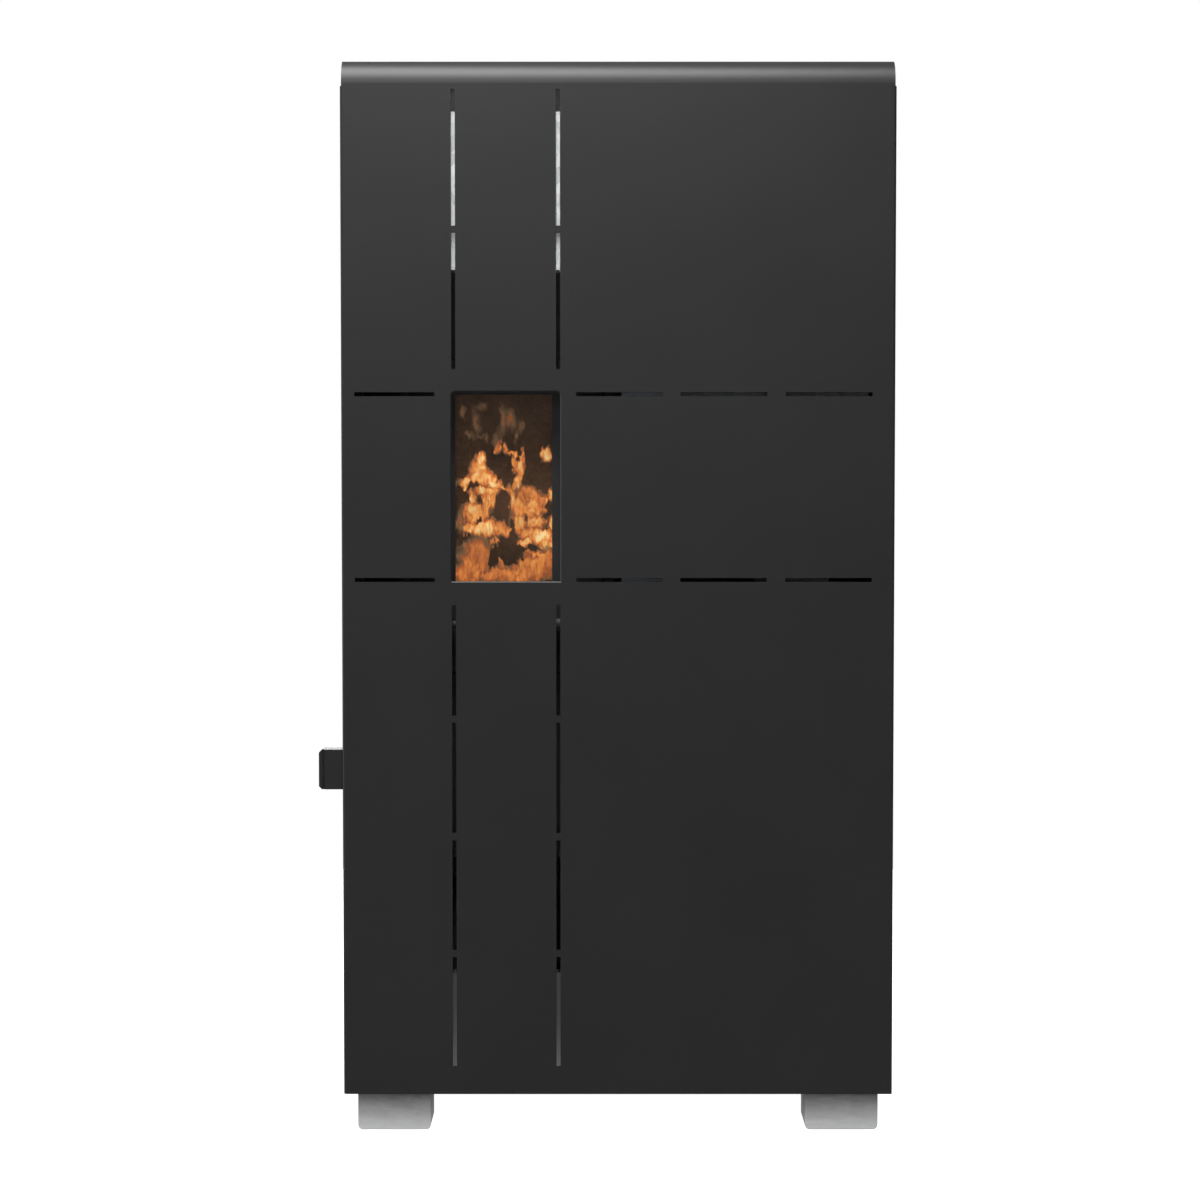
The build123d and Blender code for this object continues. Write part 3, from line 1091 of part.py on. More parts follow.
def drawer_runners():
    """Two rails on the ash bay's floor that the drawer slides on."""
    half = MOUTH_WIDTH / 2 - DRAWER_SIDE_GAP
    rails = []
    for x_low in (FIREBOX_X - half, FIREBOX_X + half - STAND_FLANGE):
        rails.append(block(x_low, x_low + STAND_FLANGE, CHAMBER_FRONT, CHAMBER_FRONT + DRAWER_DEPTH,
                           FIREBOX_BOTTOM + FIREBOX_WALL, ASH_MOUTH_BOTTOM))
    return rails


# ---------------------------------------------------------------- warm air
def plenum_neck(margin):
    """The raised neck of the plenum, grown or shrunk sideways by a margin."""
    half = PLENUM_NECK_WIDTH / 2 + margin
    depth = PLENUM_NECK_DEPTH / 2 + margin
    return block(FIREBOX_X - half, FIREBOX_X + half, PLENUM_NECK_Y - depth, PLENUM_NECK_Y + depth,
                 PLENUM_TOP - PLENUM_SHEET, COVER_UNDER)


def make_warm_air_plenum():
    """Bright sheet box above the firebox that leads warm air up to the slots in the top cover."""
    front = DOOR_INNER + PLENUM_FRONT_GAP
    plenum = block(FIREBOX_LEFT, FIREBOX_RIGHT, front, FIREBOX_BACK, FIREBOX_TOP, PLENUM_TOP)
    plenum += plenum_neck(0)
    plenum -= block(FIREBOX_LEFT + PLENUM_SHEET, FIREBOX_RIGHT - PLENUM_SHEET, front + PLENUM_SHEET, FIREBOX_BACK,
                    FIREBOX_TOP, PLENUM_TOP - PLENUM_SHEET)
    plenum += block(FIREBOX_LEFT, FIREBOX_RIGHT, front, FIREBOX_FRONT, FIREBOX_TOP, FIREBOX_TOP + PLENUM_SHEET)
    plenum -= plenum_neck(-PLENUM_SHEET)
    return plenum


def make_air_channel():
    """Sheet channel up the back of the firebox, which brings air from the blower to the tubes and the plenum."""
    channel = block(FIREBOX_LEFT, FIREBOX_RIGHT, FIREBOX_BACK, CHANNEL_BACK, FIREBOX_BOTTOM, PLENUM_TOP)
    channel -= block(FIREBOX_LEFT + CHANNEL_SHEET, FIREBOX_RIGHT - CHANNEL_SHEET, FIREBOX_BACK,
                     CHANNEL_BACK - CHANNEL_SHEET, FIREBOX_BOTTOM + CHANNEL_SHEET, PLENUM_TOP - CHANNEL_SHEET)
    channel -= block(FIREBOX_LEFT + STAND_SHEET + CHANNEL_SHEET, blower_right() - CHANNEL_SHEET, FIREBOX_BACK,
                     CHANNEL_BACK - CHANNEL_SHEET, FIREBOX_BOTTOM, FIREBOX_BOTTOM + CHANNEL_SHEET)
    half = SMOKE_WIDTH / 2
    channel -= block(FIREBOX_X - half, FIREBOX_X + half, FIREBOX_BACK, SMOKE_BACK, FIREBOX_BOTTOM,
                     FIREBOX_BOTTOM + CHANNEL_SHEET)
    channel -= chute_run(CHUTE_SHEET)
    channel -= rod((AIR_PIPE_X, FIREBOX_BACK, AIR_PIPE_Z), (AIR_PIPE_X, CHANNEL_BACK, AIR_PIPE_Z), AIR_PIPE_RADIUS)
    return channel


def blower_right():
    """Right side of the blower housing."""
    return FIREBOX_LEFT + STAND_SHEET + BLOWER_WIDTH


def make_blower_housing():
    """Scroll housing of the room-air blower, with an eye at the left and an outlet up at the back."""
    x_low = FIREBOX_LEFT + STAND_SHEET
    x_high = blower_right()
    sheet = BLOWER_SHEET
    back = BLOWER_Y + BLOWER_RADIUS
    outlet_front = back - BLOWER_OUTLET_DEPTH
    housing = rod((x_low, BLOWER_Y, BLOWER_Z), (x_high, BLOWER_Y, BLOWER_Z), BLOWER_RADIUS)
    housing += block(x_low, x_high, outlet_front, back, BLOWER_Z, FIREBOX_BOTTOM)
    inside = rod((x_low + sheet, BLOWER_Y, BLOWER_Z), (x_high - sheet, BLOWER_Y, BLOWER_Z), BLOWER_RADIUS - sheet)
    inside += block(x_low + sheet, x_high - sheet, outlet_front + sheet, back - sheet, BLOWER_Z, FIREBOX_BOTTOM)
    housing -= inside
    housing -= rod((x_low, BLOWER_Y, BLOWER_Z), (x_low + sheet, BLOWER_Y, BLOWER_Z), BLOWER_EYE_RADIUS)
    housing -= rod((x_high - sheet, BLOWER_Y, BLOWER_Z), (x_high, BLOWER_Y, BLOWER_Z),
                   BLOWER_SHAFT_RADIUS + SHAFT_CLEARANCE)
    foot_low = BLOWER_Z - BLOWER_FOOT_RISE
    foot = block(x_low, x_low + sheet, BLOWER_Y - BLOWER_RADIUS / 2, BLOWER_Y + BLOWER_RADIUS / 2, PAN_TOP, foot_low)
    foot += block(x_high - sheet, x_high, BLOWER_Y - BLOWER_RADIUS / 2, BLOWER_Y + BLOWER_RADIUS / 2, PAN_TOP,
                  foot_low)
    return housing + foot


def make_blower_motor():
    """Blower motor on the right side of the housing; its shaft hole takes the rotor's shaft."""
    x_low = blower_right()
    x_high = x_low + BLOWER_MOTOR_LENGTH
    motor = rod((x_low, BLOWER_Y, BLOWER_Z), (x_high, BLOWER_Y, BLOWER_Z), BLOWER_MOTOR_RADIUS)
    motor = fillet(motor.edges().group_by(Axis.X)[-1], BLOWER_MOTOR_RADIUS / 8)
    motor -= rod((x_low, BLOWER_Y, BLOWER_Z), (x_low + BLOWER_MOTOR_LENGTH / 2, BLOWER_Y, BLOWER_Z),
                 BLOWER_SHAFT_RADIUS + SHAFT_CLEARANCE)
    return motor


def make_blower_rotor():
    """Squirrel-cage rotor with its hub disc and shaft."""
    x_low = FIREBOX_LEFT + STAND_SHEET + ROTOR_SIDE_GAP
    x_high = blower_right() - ROTOR_SIDE_GAP
    inner = ROTOR_RADIUS - ROTOR_RING
    front_ring = rod((x_low, BLOWER_Y, BLOWER_Z), (x_low + ROTOR_RING_THICKNESS, BLOWER_Y, BLOWER_Z), ROTOR_RADIUS)
    front_ring -= rod((x_low, BLOWER_Y, BLOWER_Z), (x_low + ROTOR_RING_THICKNESS, BLOWER_Y, BLOWER_Z), inner)
    disc = rod((x_high - ROTOR_RING_THICKNESS, BLOWER_Y, BLOWER_Z), (x_high, BLOWER_Y, BLOWER_Z), ROTOR_RADIUS)
    shaft_end = blower_right() + BLOWER_MOTOR_LENGTH / 2 - ROTOR_RING_THICKNESS
    shaft = rod((x_high - ROTOR_RING_THICKNESS * 4, BLOWER_Y, BLOWER_Z), (shaft_end, BLOWER_Y, BLOWER_Z),
                BLOWER_SHAFT_RADIUS)
    hub = rod((x_high - ROTOR_RING_THICKNESS * 4, BLOWER_Y, BLOWER_Z), (x_high, BLOWER_Y, BLOWER_Z),
              BLOWER_SHAFT_RADIUS * 2)
    axis = Plane(origin=(0, BLOWER_Y, BLOWER_Z), x_dir=(0, 1, 0), z_dir=(1, 0, 0))
    blades = []
    middle = (x_low + x_high) / 2
    for index in range(ROTOR_BLADES):
        turn = Rot(0, 0, 360 / ROTOR_BLADES * index)
        blade = Box(ROTOR_RING - ROTOR_BLADE_INSET, ROTOR_BLADE_THICKNESS, x_high - x_low - ROTOR_RING_THICKNESS)
        blades.append(axis * turn * Pos(inner + ROTOR_RING / 2, 0, middle) * blade)
    return front_ring + disc + hub + shaft + blades


# ---------------------------------------------------------------- smoke
def make_smoke_duct():
    """Flat duct from the top of the firebox down to the exhaust fan, with a cleaning end at the bottom."""
    half = SMOKE_WIDTH / 2
    sheet = SMOKE_SHEET
    duct = block(FIREBOX_X - half, FIREBOX_X + half, FIREBOX_BACK, SMOKE_BACK, SMOKE_BOTTOM, SMOKE_TOP)
    duct -= block(FIREBOX_X - half + sheet, FIREBOX_X + half - sheet, FIREBOX_BACK + sheet, SMOKE_BACK - sheet,
                  SMOKE_BOTTOM + sheet, SMOKE_TOP - sheet)
    duct -= block(FIREBOX_X - half + sheet, FIREBOX_X + half - sheet, FIREBOX_BACK, FIREBOX_BACK + sheet,
                  SMOKE_PORT_BOTTOM, SMOKE_PORT_TOP)
    duct -= rod((FIREBOX_X, SMOKE_BACK - sheet, EXHAUST_Z), (FIREBOX_X, SMOKE_BACK, EXHAUST_Z), EXHAUST_EYE_RADIUS)
    duct -= rod((FIREBOX_X, FIREBOX_BACK, IGNITER_LEVEL), (FIREBOX_X, SMOKE_BACK, IGNITER_LEVEL), IGNITER_RADIUS)
    foot = block(FIREBOX_X - half, FIREBOX_X + half, FIREBOX_BACK, FIREBOX_BACK + sheet, PAN_TOP, SMOKE_BOTTOM)
    return duct + foot


def flue_junction(margin):
    """The box that turns the exhaust from the fan to the flue collar, shrunk by a margin."""
    half = FLUE_RADIUS - margin
    return block(FIREBOX_X, FLUE_X + half, SMOKE_BACK + margin, SMOKE_BACK + EXHAUST_DEPTH - margin,
                 FLUE_Z - half + FLUE_RADIUS / 2, FLUE_Z + half)


def make_exhaust_housing():
    """Cast scroll housing of the exhaust fan, with its outlet box and the smoke temperature probe."""
    front = SMOKE_BACK
    back = front + EXHAUST_DEPTH
    wall = EXHAUST_WALL
    housing = rod((FIREBOX_X, front, EXHAUST_Z), (FIREBOX_X, back, EXHAUST_Z), EXHAUST_RADIUS)
    housing += flue_junction(0)
    housing += rod((FLUE_X, front, FLUE_Z), (FLUE_X, back, FLUE_Z), FLUE_RADIUS)
    inside = rod((FIREBOX_X, front + wall, EXHAUST_Z), (FIREBOX_X, back - wall, EXHAUST_Z), EXHAUST_RADIUS - wall)
    inside += flue_junction(wall)
    inside += rod((FLUE_X, front + wall, FLUE_Z), (FLUE_X, back, FLUE_Z), FLUE_RADIUS - wall)
    housing -= inside
    housing -= rod((FIREBOX_X, front, EXHAUST_Z), (FIREBOX_X, front + wall, EXHAUST_Z), EXHAUST_EYE_RADIUS)
    housing -= rod((FIREBOX_X, back - wall, EXHAUST_Z), (FIREBOX_X, back, EXHAUST_Z),
                   EXHAUST_SHAFT_RADIUS + SHAFT_CLEARANCE)
    probe_y = front + EXHAUST_DEPTH / 2
    top = FLUE_Z + FLUE_RADIUS
    housing += rod((FLUE_X, probe_y, top - wall), (FLUE_X, probe_y, top + PROBE_REACH), PROBE_RADIUS)
    housing += Pos(FLUE_X, probe_y, top) * extrude(RegularPolygon(PROBE_RADIUS * 2, 6), PROBE_RADIUS * 2)
    return housing


def make_exhaust_motor():
    """Exhaust fan motor on the back of its housing."""
    front = SMOKE_BACK + EXHAUST_DEPTH
    back = front + EXHAUST_MOTOR_LENGTH
    motor = rod((FIREBOX_X, front, EXHAUST_Z), (FIREBOX_X, back, EXHAUST_Z), EXHAUST_MOTOR_RADIUS)
    motor = fillet(motor.edges().group_by(Axis.Y)[-1], EXHAUST_MOTOR_RADIUS / 8)
    motor += rod((FIREBOX_X, front, EXHAUST_Z), (FIREBOX_X, front + EXHAUST_WALL, EXHAUST_Z),
                 EXHAUST_MOTOR_FLANGE)
    motor -= rod((FIREBOX_X, front, EXHAUST_Z), (FIREBOX_X, front + EXHAUST_MOTOR_LENGTH / 2, EXHAUST_Z),
                 EXHAUST_SHAFT_RADIUS + SHAFT_CLEARANCE)
    return motor


def make_exhaust_impeller():
    """Radial impeller: back plate, hub, blades and shaft."""
    back = SMOKE_BACK + EXHAUST_DEPTH - EXHAUST_WALL - IMPELLER_GAP
    plate_front = back - IMPELLER_PLATE
    impeller = rod((FIREBOX_X, plate_front, EXHAUST_Z), (FIREBOX_X, back, EXHAUST_Z), IMPELLER_RADIUS)
    impeller += rod((FIREBOX_X, plate_front - IMPELLER_BLADE_HEIGHT / 2, EXHAUST_Z), (FIREBOX_X, back, EXHAUST_Z),
                    EXHAUST_SHAFT_RADIUS * 2)
    shaft_end = SMOKE_BACK + EXHAUST_DEPTH + EXHAUST_MOTOR_LENGTH / 2 - IMPELLER_PLATE
    impeller += rod((FIREBOX_X, back, EXHAUST_Z), (FIREBOX_X, shaft_end, EXHAUST_Z), EXHAUST_SHAFT_RADIUS)
    axis = Plane(origin=(FIREBOX_X, plate_front - IMPELLER_BLADE_HEIGHT / 2, EXHAUST_Z), x_dir=(1, 0, 0),
                 z_dir=(0, 1, 0))
    blade_length = IMPELLER_RADIUS - EXHAUST_SHAFT_RADIUS * 2
    blades = []
    for index in range(IMPELLER_BLADES):
        blade = Box(blade_length, IMPELLER_PLATE, IMPELLER_BLADE_HEIGHT)
        reach = EXHAUST_SHAFT_RADIUS * 2 - IMPELLER_PLATE / 2 + blade_length / 2
        blades.append(axis * Rot(0, 0, 360 / IMPELLER_BLADES * index) * Pos(reach, 0, 0) * blade)
    return impeller + blades


def spigot(x, z, front, radius, wall):
    """A pipe along Y through the rear panel, whose free end is swaged out to a radius."""
    back = BACK + FLUE_REACH
    outside = rod((x, front, z), (x, back, z), radius - SPIGOT_STEP)
    outside += rod((x, BACK + SPIGOT_START, z), (x, back, z), radius)
    return outside - rod((x, front, z), (x, back, z), radius - SPIGOT_STEP - wall)


def make_flue_collar():
    """Flue collar through the rear panel, with its flange on the exhaust housing."""
    front = SMOKE_BACK + EXHAUST_DEPTH
    collar = spigot(FLUE_X, FLUE_Z, front, FLUE_RADIUS, FLUE_WALL)
    flange = pipe((FLUE_X, front, FLUE_Z), (FLUE_X, front + EXHAUST_WALL, FLUE_Z), FLUE_RADIUS + EXHAUST_WALL * 2,
                  EXHAUST_WALL * 2 + SPIGOT_STEP)
    return collar + flange


def make_air_inlet_pipe():
    """Combustion air pipe from behind the stove to the ash bay."""
    return spigot(AIR_PIPE_X, AIR_PIPE_Z, FIREBOX_BACK, AIR_PIPE_RADIUS, AIR_PIPE_WALL)


# ---------------------------------------------------------------- hopper and feed
def auger_hull(radius):
    """A bar along the auger's whole axis."""
    return rod(AUGER_LOW, AUGER_HIGH, radius)


def hopper_body(shrink):
    """Outside of the hopper, shrunk by a sheet thickness for its inside."""
    x_low, x_high = HOPPER_LEFT + shrink, HOPPER_RIGHT - shrink
    y_low, y_high = HOPPER_FRONT + shrink, HOPPER_BACK - shrink
    box = block(x_low, x_high, y_low, y_high, HOPPER_SHOULDER, HOPPER_RIM)
    neck_half = NECK_WIDTH_Y / 2 - shrink
    neck_low, neck_high = NECK_LEFT + shrink, NECK_RIGHT - shrink
    upper = Plane.XY.offset(HOPPER_SHOULDER) * Pos((x_low + x_high) / 2, (y_low + y_high) / 2) * Rectangle(
        x_high - x_low, y_high - y_low)
    lower = Plane.XY.offset(NECK_TOP) * Pos((neck_low + neck_high) / 2, AUGER_Y) * Rectangle(
        neck_high - neck_low, neck_half * 2)
    funnel = loft([lower.face(), upper.face()])
    neck = block(neck_low, neck_high, AUGER_Y - neck_half, AUGER_Y + neck_half, NECK_BOTTOM, NECK_TOP)
    return box + funnel + neck


def make_hopper():
    """Pellet hopper: straight sides, a funnel, a neck on the auger tube, hanging rails and lid ears."""
    hopper = hopper_body(0) - hopper_body(HOPPER_SHEET)
    hopper += ring_lip()
    hopper -= auger_hull(AUGER_TUBE_RADIUS)
    hopper = hopper.solids().sort_by(SortBy.VOLUME)[-1]
    return Part() + hopper + hopper_rails() + lid_ears()


def ring_lip():
    """Outward lip round the hopper's rim."""
    low = HOPPER_RIM - HOPPER_SHEET
    lip = block(HOPPER_LEFT, HOPPER_RIGHT, HOPPER_FRONT, HOPPER_BACK, low, HOPPER_RIM)
    return lip - block(HOPPER_LEFT + HOPPER_LIP, HOPPER_RIGHT - HOPPER_LIP, HOPPER_FRONT + HOPPER_LIP,
                       HOPPER_BACK - HOPPER_LIP, low, HOPPER_RIM)


def make_hopper_guard():
    """Wire grid across the hopper that keeps hands from the auger."""
    x_low, x_high = HOPPER_LEFT + HOPPER_SHEET, HOPPER_RIGHT - HOPPER_SHEET
    y_low, y_high = HOPPER_FRONT + HOPPER_SHEET, HOPPER_BACK - HOPPER_SHEET
    z_low, z_high = GUARD_LEVEL, GUARD_LEVEL + GUARD_WIRE
    guard = block(x_low, x_high, y_low, y_high, z_low, z_high)
    guard -= block(x_low + GUARD_WIRE * 2, x_high - GUARD_WIRE * 2, y_low + GUARD_WIRE * 2, y_high - GUARD_WIRE * 2,
                   z_low, z_high)
    x_step = (x_high - x_low) / GUARD_COLUMNS
    y_step = (y_high - y_low) / GUARD_ROWS
    for index in range(1, GUARD_COLUMNS):
        x = x_low + x_step * index
        guard += block(x - GUARD_WIRE / 2, x + GUARD_WIRE / 2, y_low, y_high, z_low, z_high)
    for index in range(1, GUARD_ROWS):
        y = y_low + y_step * index
        guard += block(x_low, x_high, y - GUARD_WIRE / 2, y + GUARD_WIRE / 2, z_low, z_high)
    return guard


def hopper_rails():
    """Folded rails that hang the hopper between the partition plate and the right side panel."""
    partition = FIREBOX_RIGHT + PARTITION_GAP + CASING_SHEET
    rails = []
    for x_low, x_high in ((partition, HOPPER_LEFT), (HOPPER_RIGHT, INNER_X)):
        rails.append(block(x_low, x_high, HOPPER_FRONT + HOPPER_LIP, HOPPER_BACK - HOPPER_LIP, RAIL_LEVEL,
                           RAIL_LEVEL + RAIL_HEIGHT))
    return rails


def feed_opening():
    """Cutter for the opening in the tube's upper side, under the hopper's neck."""
    slant = math.sqrt(0.5)
    top_x = AUGER_LOW.X + AUGER_TUBE_RADIUS * slant
    start = (top_x - NECK_RIGHT + HOPPER_SHEET) / slant + AUGER_TUBE_WALL
    end = (top_x - NECK_LEFT - HOPPER_SHEET) / slant - AUGER_TUBE_WALL
    plane = Plane(origin=AUGER_LOW, x_dir=(0, 1, 0), z_dir=AUGER_WAY)
    depth = AUGER_TUBE_RADIUS - AUGER_SHAFT_RADIUS - AUGER_GAP
    cutter = Box(NECK_WIDTH_Y - 2 * HOPPER_SHEET, depth, end - start, align=(Align.CENTER, Align.MIN, Align.MIN))
    return plane * Pos(0, -AUGER_TUBE_RADIUS - HOPPER_SHEET, start) * cutter


def make_auger_tube():
    """Auger tube with end plates that carry the shaft, open under the hopper and over the chute."""
    plate = AUGER_WAY * AUGER_END_PLATE
    tube = auger_hull(AUGER_TUBE_RADIUS) - auger_hull(AUGER_TUBE_RADIUS - AUGER_TUBE_WALL)
    bore = AUGER_SHAFT_RADIUS + SHAFT_CLEARANCE
    for start, end in ((AUGER_LOW, AUGER_LOW + plate), (AUGER_HIGH - plate, AUGER_HIGH)):
        tube += rod(start, end, AUGER_TUBE_RADIUS) - rod(start, end, bore)
    tube -= feed_opening()
    tube -= chute_run(0) & block(CHUTE_X - CHUTE_WIDTH / 2 + AUGER_TUBE_WALL, CHUTE_X + CHUTE_WIDTH, FRONT, BACK,
                                 FIREBOX_BOTTOM, AUGER_HIGH.Z - AUGER_TUBE_RADIUS)
    return tube


def make_auger_screw():
    """Auger shaft with one helical flight."""
    start = AUGER_LOW + AUGER_WAY * 0.5
    end = AUGER_HIGH + AUGER_WAY * (GEARBOX_LENGTH / 2)
    shaft = rod(start, end, AUGER_SHAFT_RADIUS)
    outer = AUGER_TUBE_RADIUS - AUGER_TUBE_WALL - AUGER_GAP
    length = (AUGER_HIGH - AUGER_LOW).length - 2 * AUGER_END_PLATE - 2 * AUGER_FLIGHT_THICKNESS
    inner = AUGER_SHAFT_RADIUS - 1.0
    path = Helix(AUGER_PITCH, length, (inner + outer) / 2)
    section = Plane(origin=path @ 0, x_dir=(1, 0, 0), z_dir=path % 0) * Rectangle(outer - inner,
                                                                                  AUGER_FLIGHT_THICKNESS)
    flight = sweep(section, path=path, is_frenet=True)
    base = AUGER_LOW + AUGER_WAY * (AUGER_END_PLATE + AUGER_FLIGHT_THICKNESS)
    return shaft + Plane(origin=base, z_dir=AUGER_WAY) * flight


def make_gear_motor():
    """Gear motor on the auger's upper end."""
    plane = Plane(origin=AUGER_HIGH, x_dir=(0, 1, 0), z_dir=AUGER_WAY)
    ends = (Align.CENTER, Align.CENTER, Align.MIN)
    box = plane * Box(GEARBOX_SIZE, GEARBOX_SIZE, GEARBOX_LENGTH, align=ends)
    box = fillet(box.edges().filter_by(lambda edge: abs(edge.length - GEARBOX_LENGTH) < 0.01), CASING_SHEET)
    motor = rod(AUGER_HIGH + AUGER_WAY * GEARBOX_LENGTH, AUGER_HIGH + AUGER_WAY * (GEARBOX_LENGTH + GEAR_MOTOR_LENGTH),
                GEAR_MOTOR_RADIUS)
    hole = rod(AUGER_HIGH, AUGER_HIGH + AUGER_WAY * (GEARBOX_LENGTH / 2 + SHAFT_END_ROOM), AUGER_SHAFT_RADIUS + SHAFT_CLEARANCE)
    return box + motor - hole


def make_pellet_chute():
    """Drop chute from the auger's upper end into the firebox."""
    chute = chute_run(CHUTE_SHEET) - chute_run(0) - auger_hull(AUGER_TUBE_RADIUS)
    chute -= block(CHUTE_X - CHUTE_WIDTH, CHUTE_X + CHUTE_WIDTH, AUGER_Y - GEARBOX_SIZE, BACK,
                   AUGER_HIGH.Z - AUGER_TUBE_RADIUS + CHUTE_SHEET, STOVE_HEIGHT)
    return chute.solids().sort_by(SortBy.VOLUME)[-1]


# ---------------------------------------------------------------- lid
def make_hopper_lid():
    """Hopper lid: flush plate with a finger edge in front, a hinge barrel at the back and its pin ends."""
    plate = block(LID_LEFT, LID_RIGHT, LID_FRONT, LID_BACK, STOVE_HEIGHT - LID_SHEET, STOVE_HEIGHT)
    plate = fillet(plate.edges().filter_by(Axis.Z), LID_SHEET)
    middle = (LID_LEFT + LID_RIGHT) / 2
    plate += block(middle - LID_FINGER_WIDTH / 2, middle + LID_FINGER_WIDTH / 2, LID_FRONT - LID_FINGER_DEPTH / 2,
                   LID_FRONT, STOVE_HEIGHT - LID_SHEET, STOVE_HEIGHT)
    barrel_low = LID_LEFT + LID_SHEET
    barrel_high = LID_RIGHT - LID_SHEET
    barrel_top = LID_AXIS_Z + LID_BARREL_RADIUS
    plate += block(barrel_low, barrel_high, LID_BACK - LID_SHEET, LID_AXIS_Y, barrel_top - LID_SHEET / 2, barrel_top)
    plate += rod((barrel_low, LID_AXIS_Y, LID_AXIS_Z), (barrel_high, LID_AXIS_Y, LID_AXIS_Z), LID_BARREL_RADIUS)
    reach = LID_EAR_SPACE + LID_EAR_THICKNESS
    plate += rod((barrel_low - reach, LID_AXIS_Y, LID_AXIS_Z), (barrel_high + reach, LID_AXIS_Y, LID_AXIS_Z),
                 LID_PIN_RADIUS)
    return plate


def ear_places():
    """Inner face of each lid ear, with the way it faces."""
    return ((LID_LEFT + LID_SHEET - LID_EAR_SPACE, -1), (LID_RIGHT - LID_SHEET + LID_EAR_SPACE, 1))


def lid_ears():
    """Two ears that stand on the hopper's lip and carry the lid's pin."""
    ears = []
    for x, way in ear_places():
        x_low, x_high = sorted((x, x + way * LID_EAR_THICKNESS))
        ear = block(x_low, x_high, LID_AXIS_Y - LID_BARREL_RADIUS, LID_AXIS_Y + LID_BARREL_RADIUS, HOPPER_RIM,
                    LID_AXIS_Z)
        ear += rod((x_low, LID_AXIS_Y, LID_AXIS_Z), (x_high, LID_AXIS_Y, LID_AXIS_Z), LID_BARREL_RADIUS)
        ear -= rod((x_low, LID_AXIS_Y, LID_AXIS_Z), (x_high, LID_AXIS_Y, LID_AXIS_Z),
                   LID_PIN_RADIUS + LID_PIN_CLEARANCE)
        ears.append(ear)
    return ears


def make_lid_seal():
    """Soft seal under the lid that closes on the hopper's lip."""
    low = HOPPER_RIM + RUNNING_GAP
    high = STOVE_HEIGHT - LID_SHEET
    back = HOPPER_BACK - HOPPER_LIP + LID_SEAL_WIDTH
    seal = block(LID_LEFT, LID_RIGHT, LID_FRONT, back, low, high)
    return seal - block(LID_LEFT + LID_SEAL_WIDTH, LID_RIGHT - LID_SEAL_WIDTH, LID_FRONT + LID_SEAL_WIDTH,
                        back - LID_SEAL_WIDTH, low, high)


# ---------------------------------------------------------------- electrics
def panel_face():
    """Level of the control panel's face."""
    return STOVE_HEIGHT - PANEL_SUNK


def make_control_panel():
    """Control panel housing let into the top cover, with a recess for the display and button holes."""
    face = panel_face()
    x_low, x_high = PANEL_X - PANEL_WIDTH / 2, PANEL_X + PANEL_WIDTH / 2
    y_low, y_high = PANEL_Y - PANEL_DEPTH / 2, PANEL_Y + PANEL_DEPTH / 2
    panel = block(x_low, x_high, y_low, y_high, face - PANEL_HEIGHT, face)
    panel -= block(x_low + PANEL_WALL, x_high - PANEL_WALL, y_low + PANEL_WALL, y_high - PANEL_WALL,
                   face - PANEL_HEIGHT, face - PANEL_WALL)
    flange = CASING_RETURN / 3
    panel += block(x_low - flange, x_high + flange, y_low - flange, y_high + flange, COVER_UNDER - PANEL_WALL,
                   COVER_UNDER) - block(x_low, x_high, y_low, y_high, COVER_UNDER - PANEL_WALL, COVER_UNDER)
    centre_x = PANEL_X + DISPLAY_X
    panel -= block(centre_x - DISPLAY_WIDTH / 2, centre_x + DISPLAY_WIDTH / 2, PANEL_Y - DISPLAY_DEPTH / 2,
                   PANEL_Y + DISPLAY_DEPTH / 2, face - DISPLAY_THICKNESS, face)
    for x, y in button_places():
        panel -= rod((x, y, face - PANEL_WALL), (x, y, face), BUTTON_RADIUS + BUTTON_GAP)
    return panel


def button_places():
    """The middle of each button, in a square of four."""
    half = BUTTON_PITCH / 2
    x = PANEL_X + BUTTON_X
    return ((x - half, PANEL_Y - half), (x + half, PANEL_Y - half), (x - half, PANEL_Y + half),
            (x + half, PANEL_Y + half))


def make_button(index):
    """One push button: cap and stem, above its switch on the panel's board."""
    x, y = button_places()[index]
    top = panel_face() + BUTTON_PROUD
    cap = rod((x, y, top - BUTTON_HEIGHT), (x, y, top), BUTTON_RADIUS)
    cap = fillet(cap.edges().group_by(Axis.Z)[-1], BUTTON_GAP)
    return cap + rod((x, y, top - BUTTON_HEIGHT * 2), (x, y, top), BUTTON_STEM_RADIUS)


def panel_board():
    """Circuit board under the control panel's face, with a switch body under each button."""
    x_low, x_high = PANEL_X - PANEL_WIDTH / 2 + PANEL_WALL, PANEL_X + PANEL_WIDTH / 2 - PANEL_WALL
    y_low, y_high = PANEL_Y - PANEL_DEPTH / 2 + PANEL_WALL, PANEL_Y + PANEL_DEPTH / 2 - PANEL_WALL
    stem_bottom = panel_face() + BUTTON_PROUD - BUTTON_HEIGHT * 2
    top = stem_bottom - BUTTON_RADIUS
    half = BUTTON_RADIUS / 2
    board = block(x_low, x_high, y_low, y_high, top - BOARD_THICKNESS, top)
    for x, y in button_places():
        board += block(x - half, x + half, y - half, y + half, top, stem_bottom - BUTTON_TRAVEL - RUNNING_GAP)
    return board


def make_display_window():
    """Dark display window in the control panel's face."""
    face = panel_face()
    centre_x = PANEL_X + DISPLAY_X
    return block(centre_x - DISPLAY_WIDTH / 2, centre_x + DISPLAY_WIDTH / 2, PANEL_Y - DISPLAY_DEPTH / 2,
                 PANEL_Y + DISPLAY_DEPTH / 2, face - DISPLAY_THICKNESS, face)


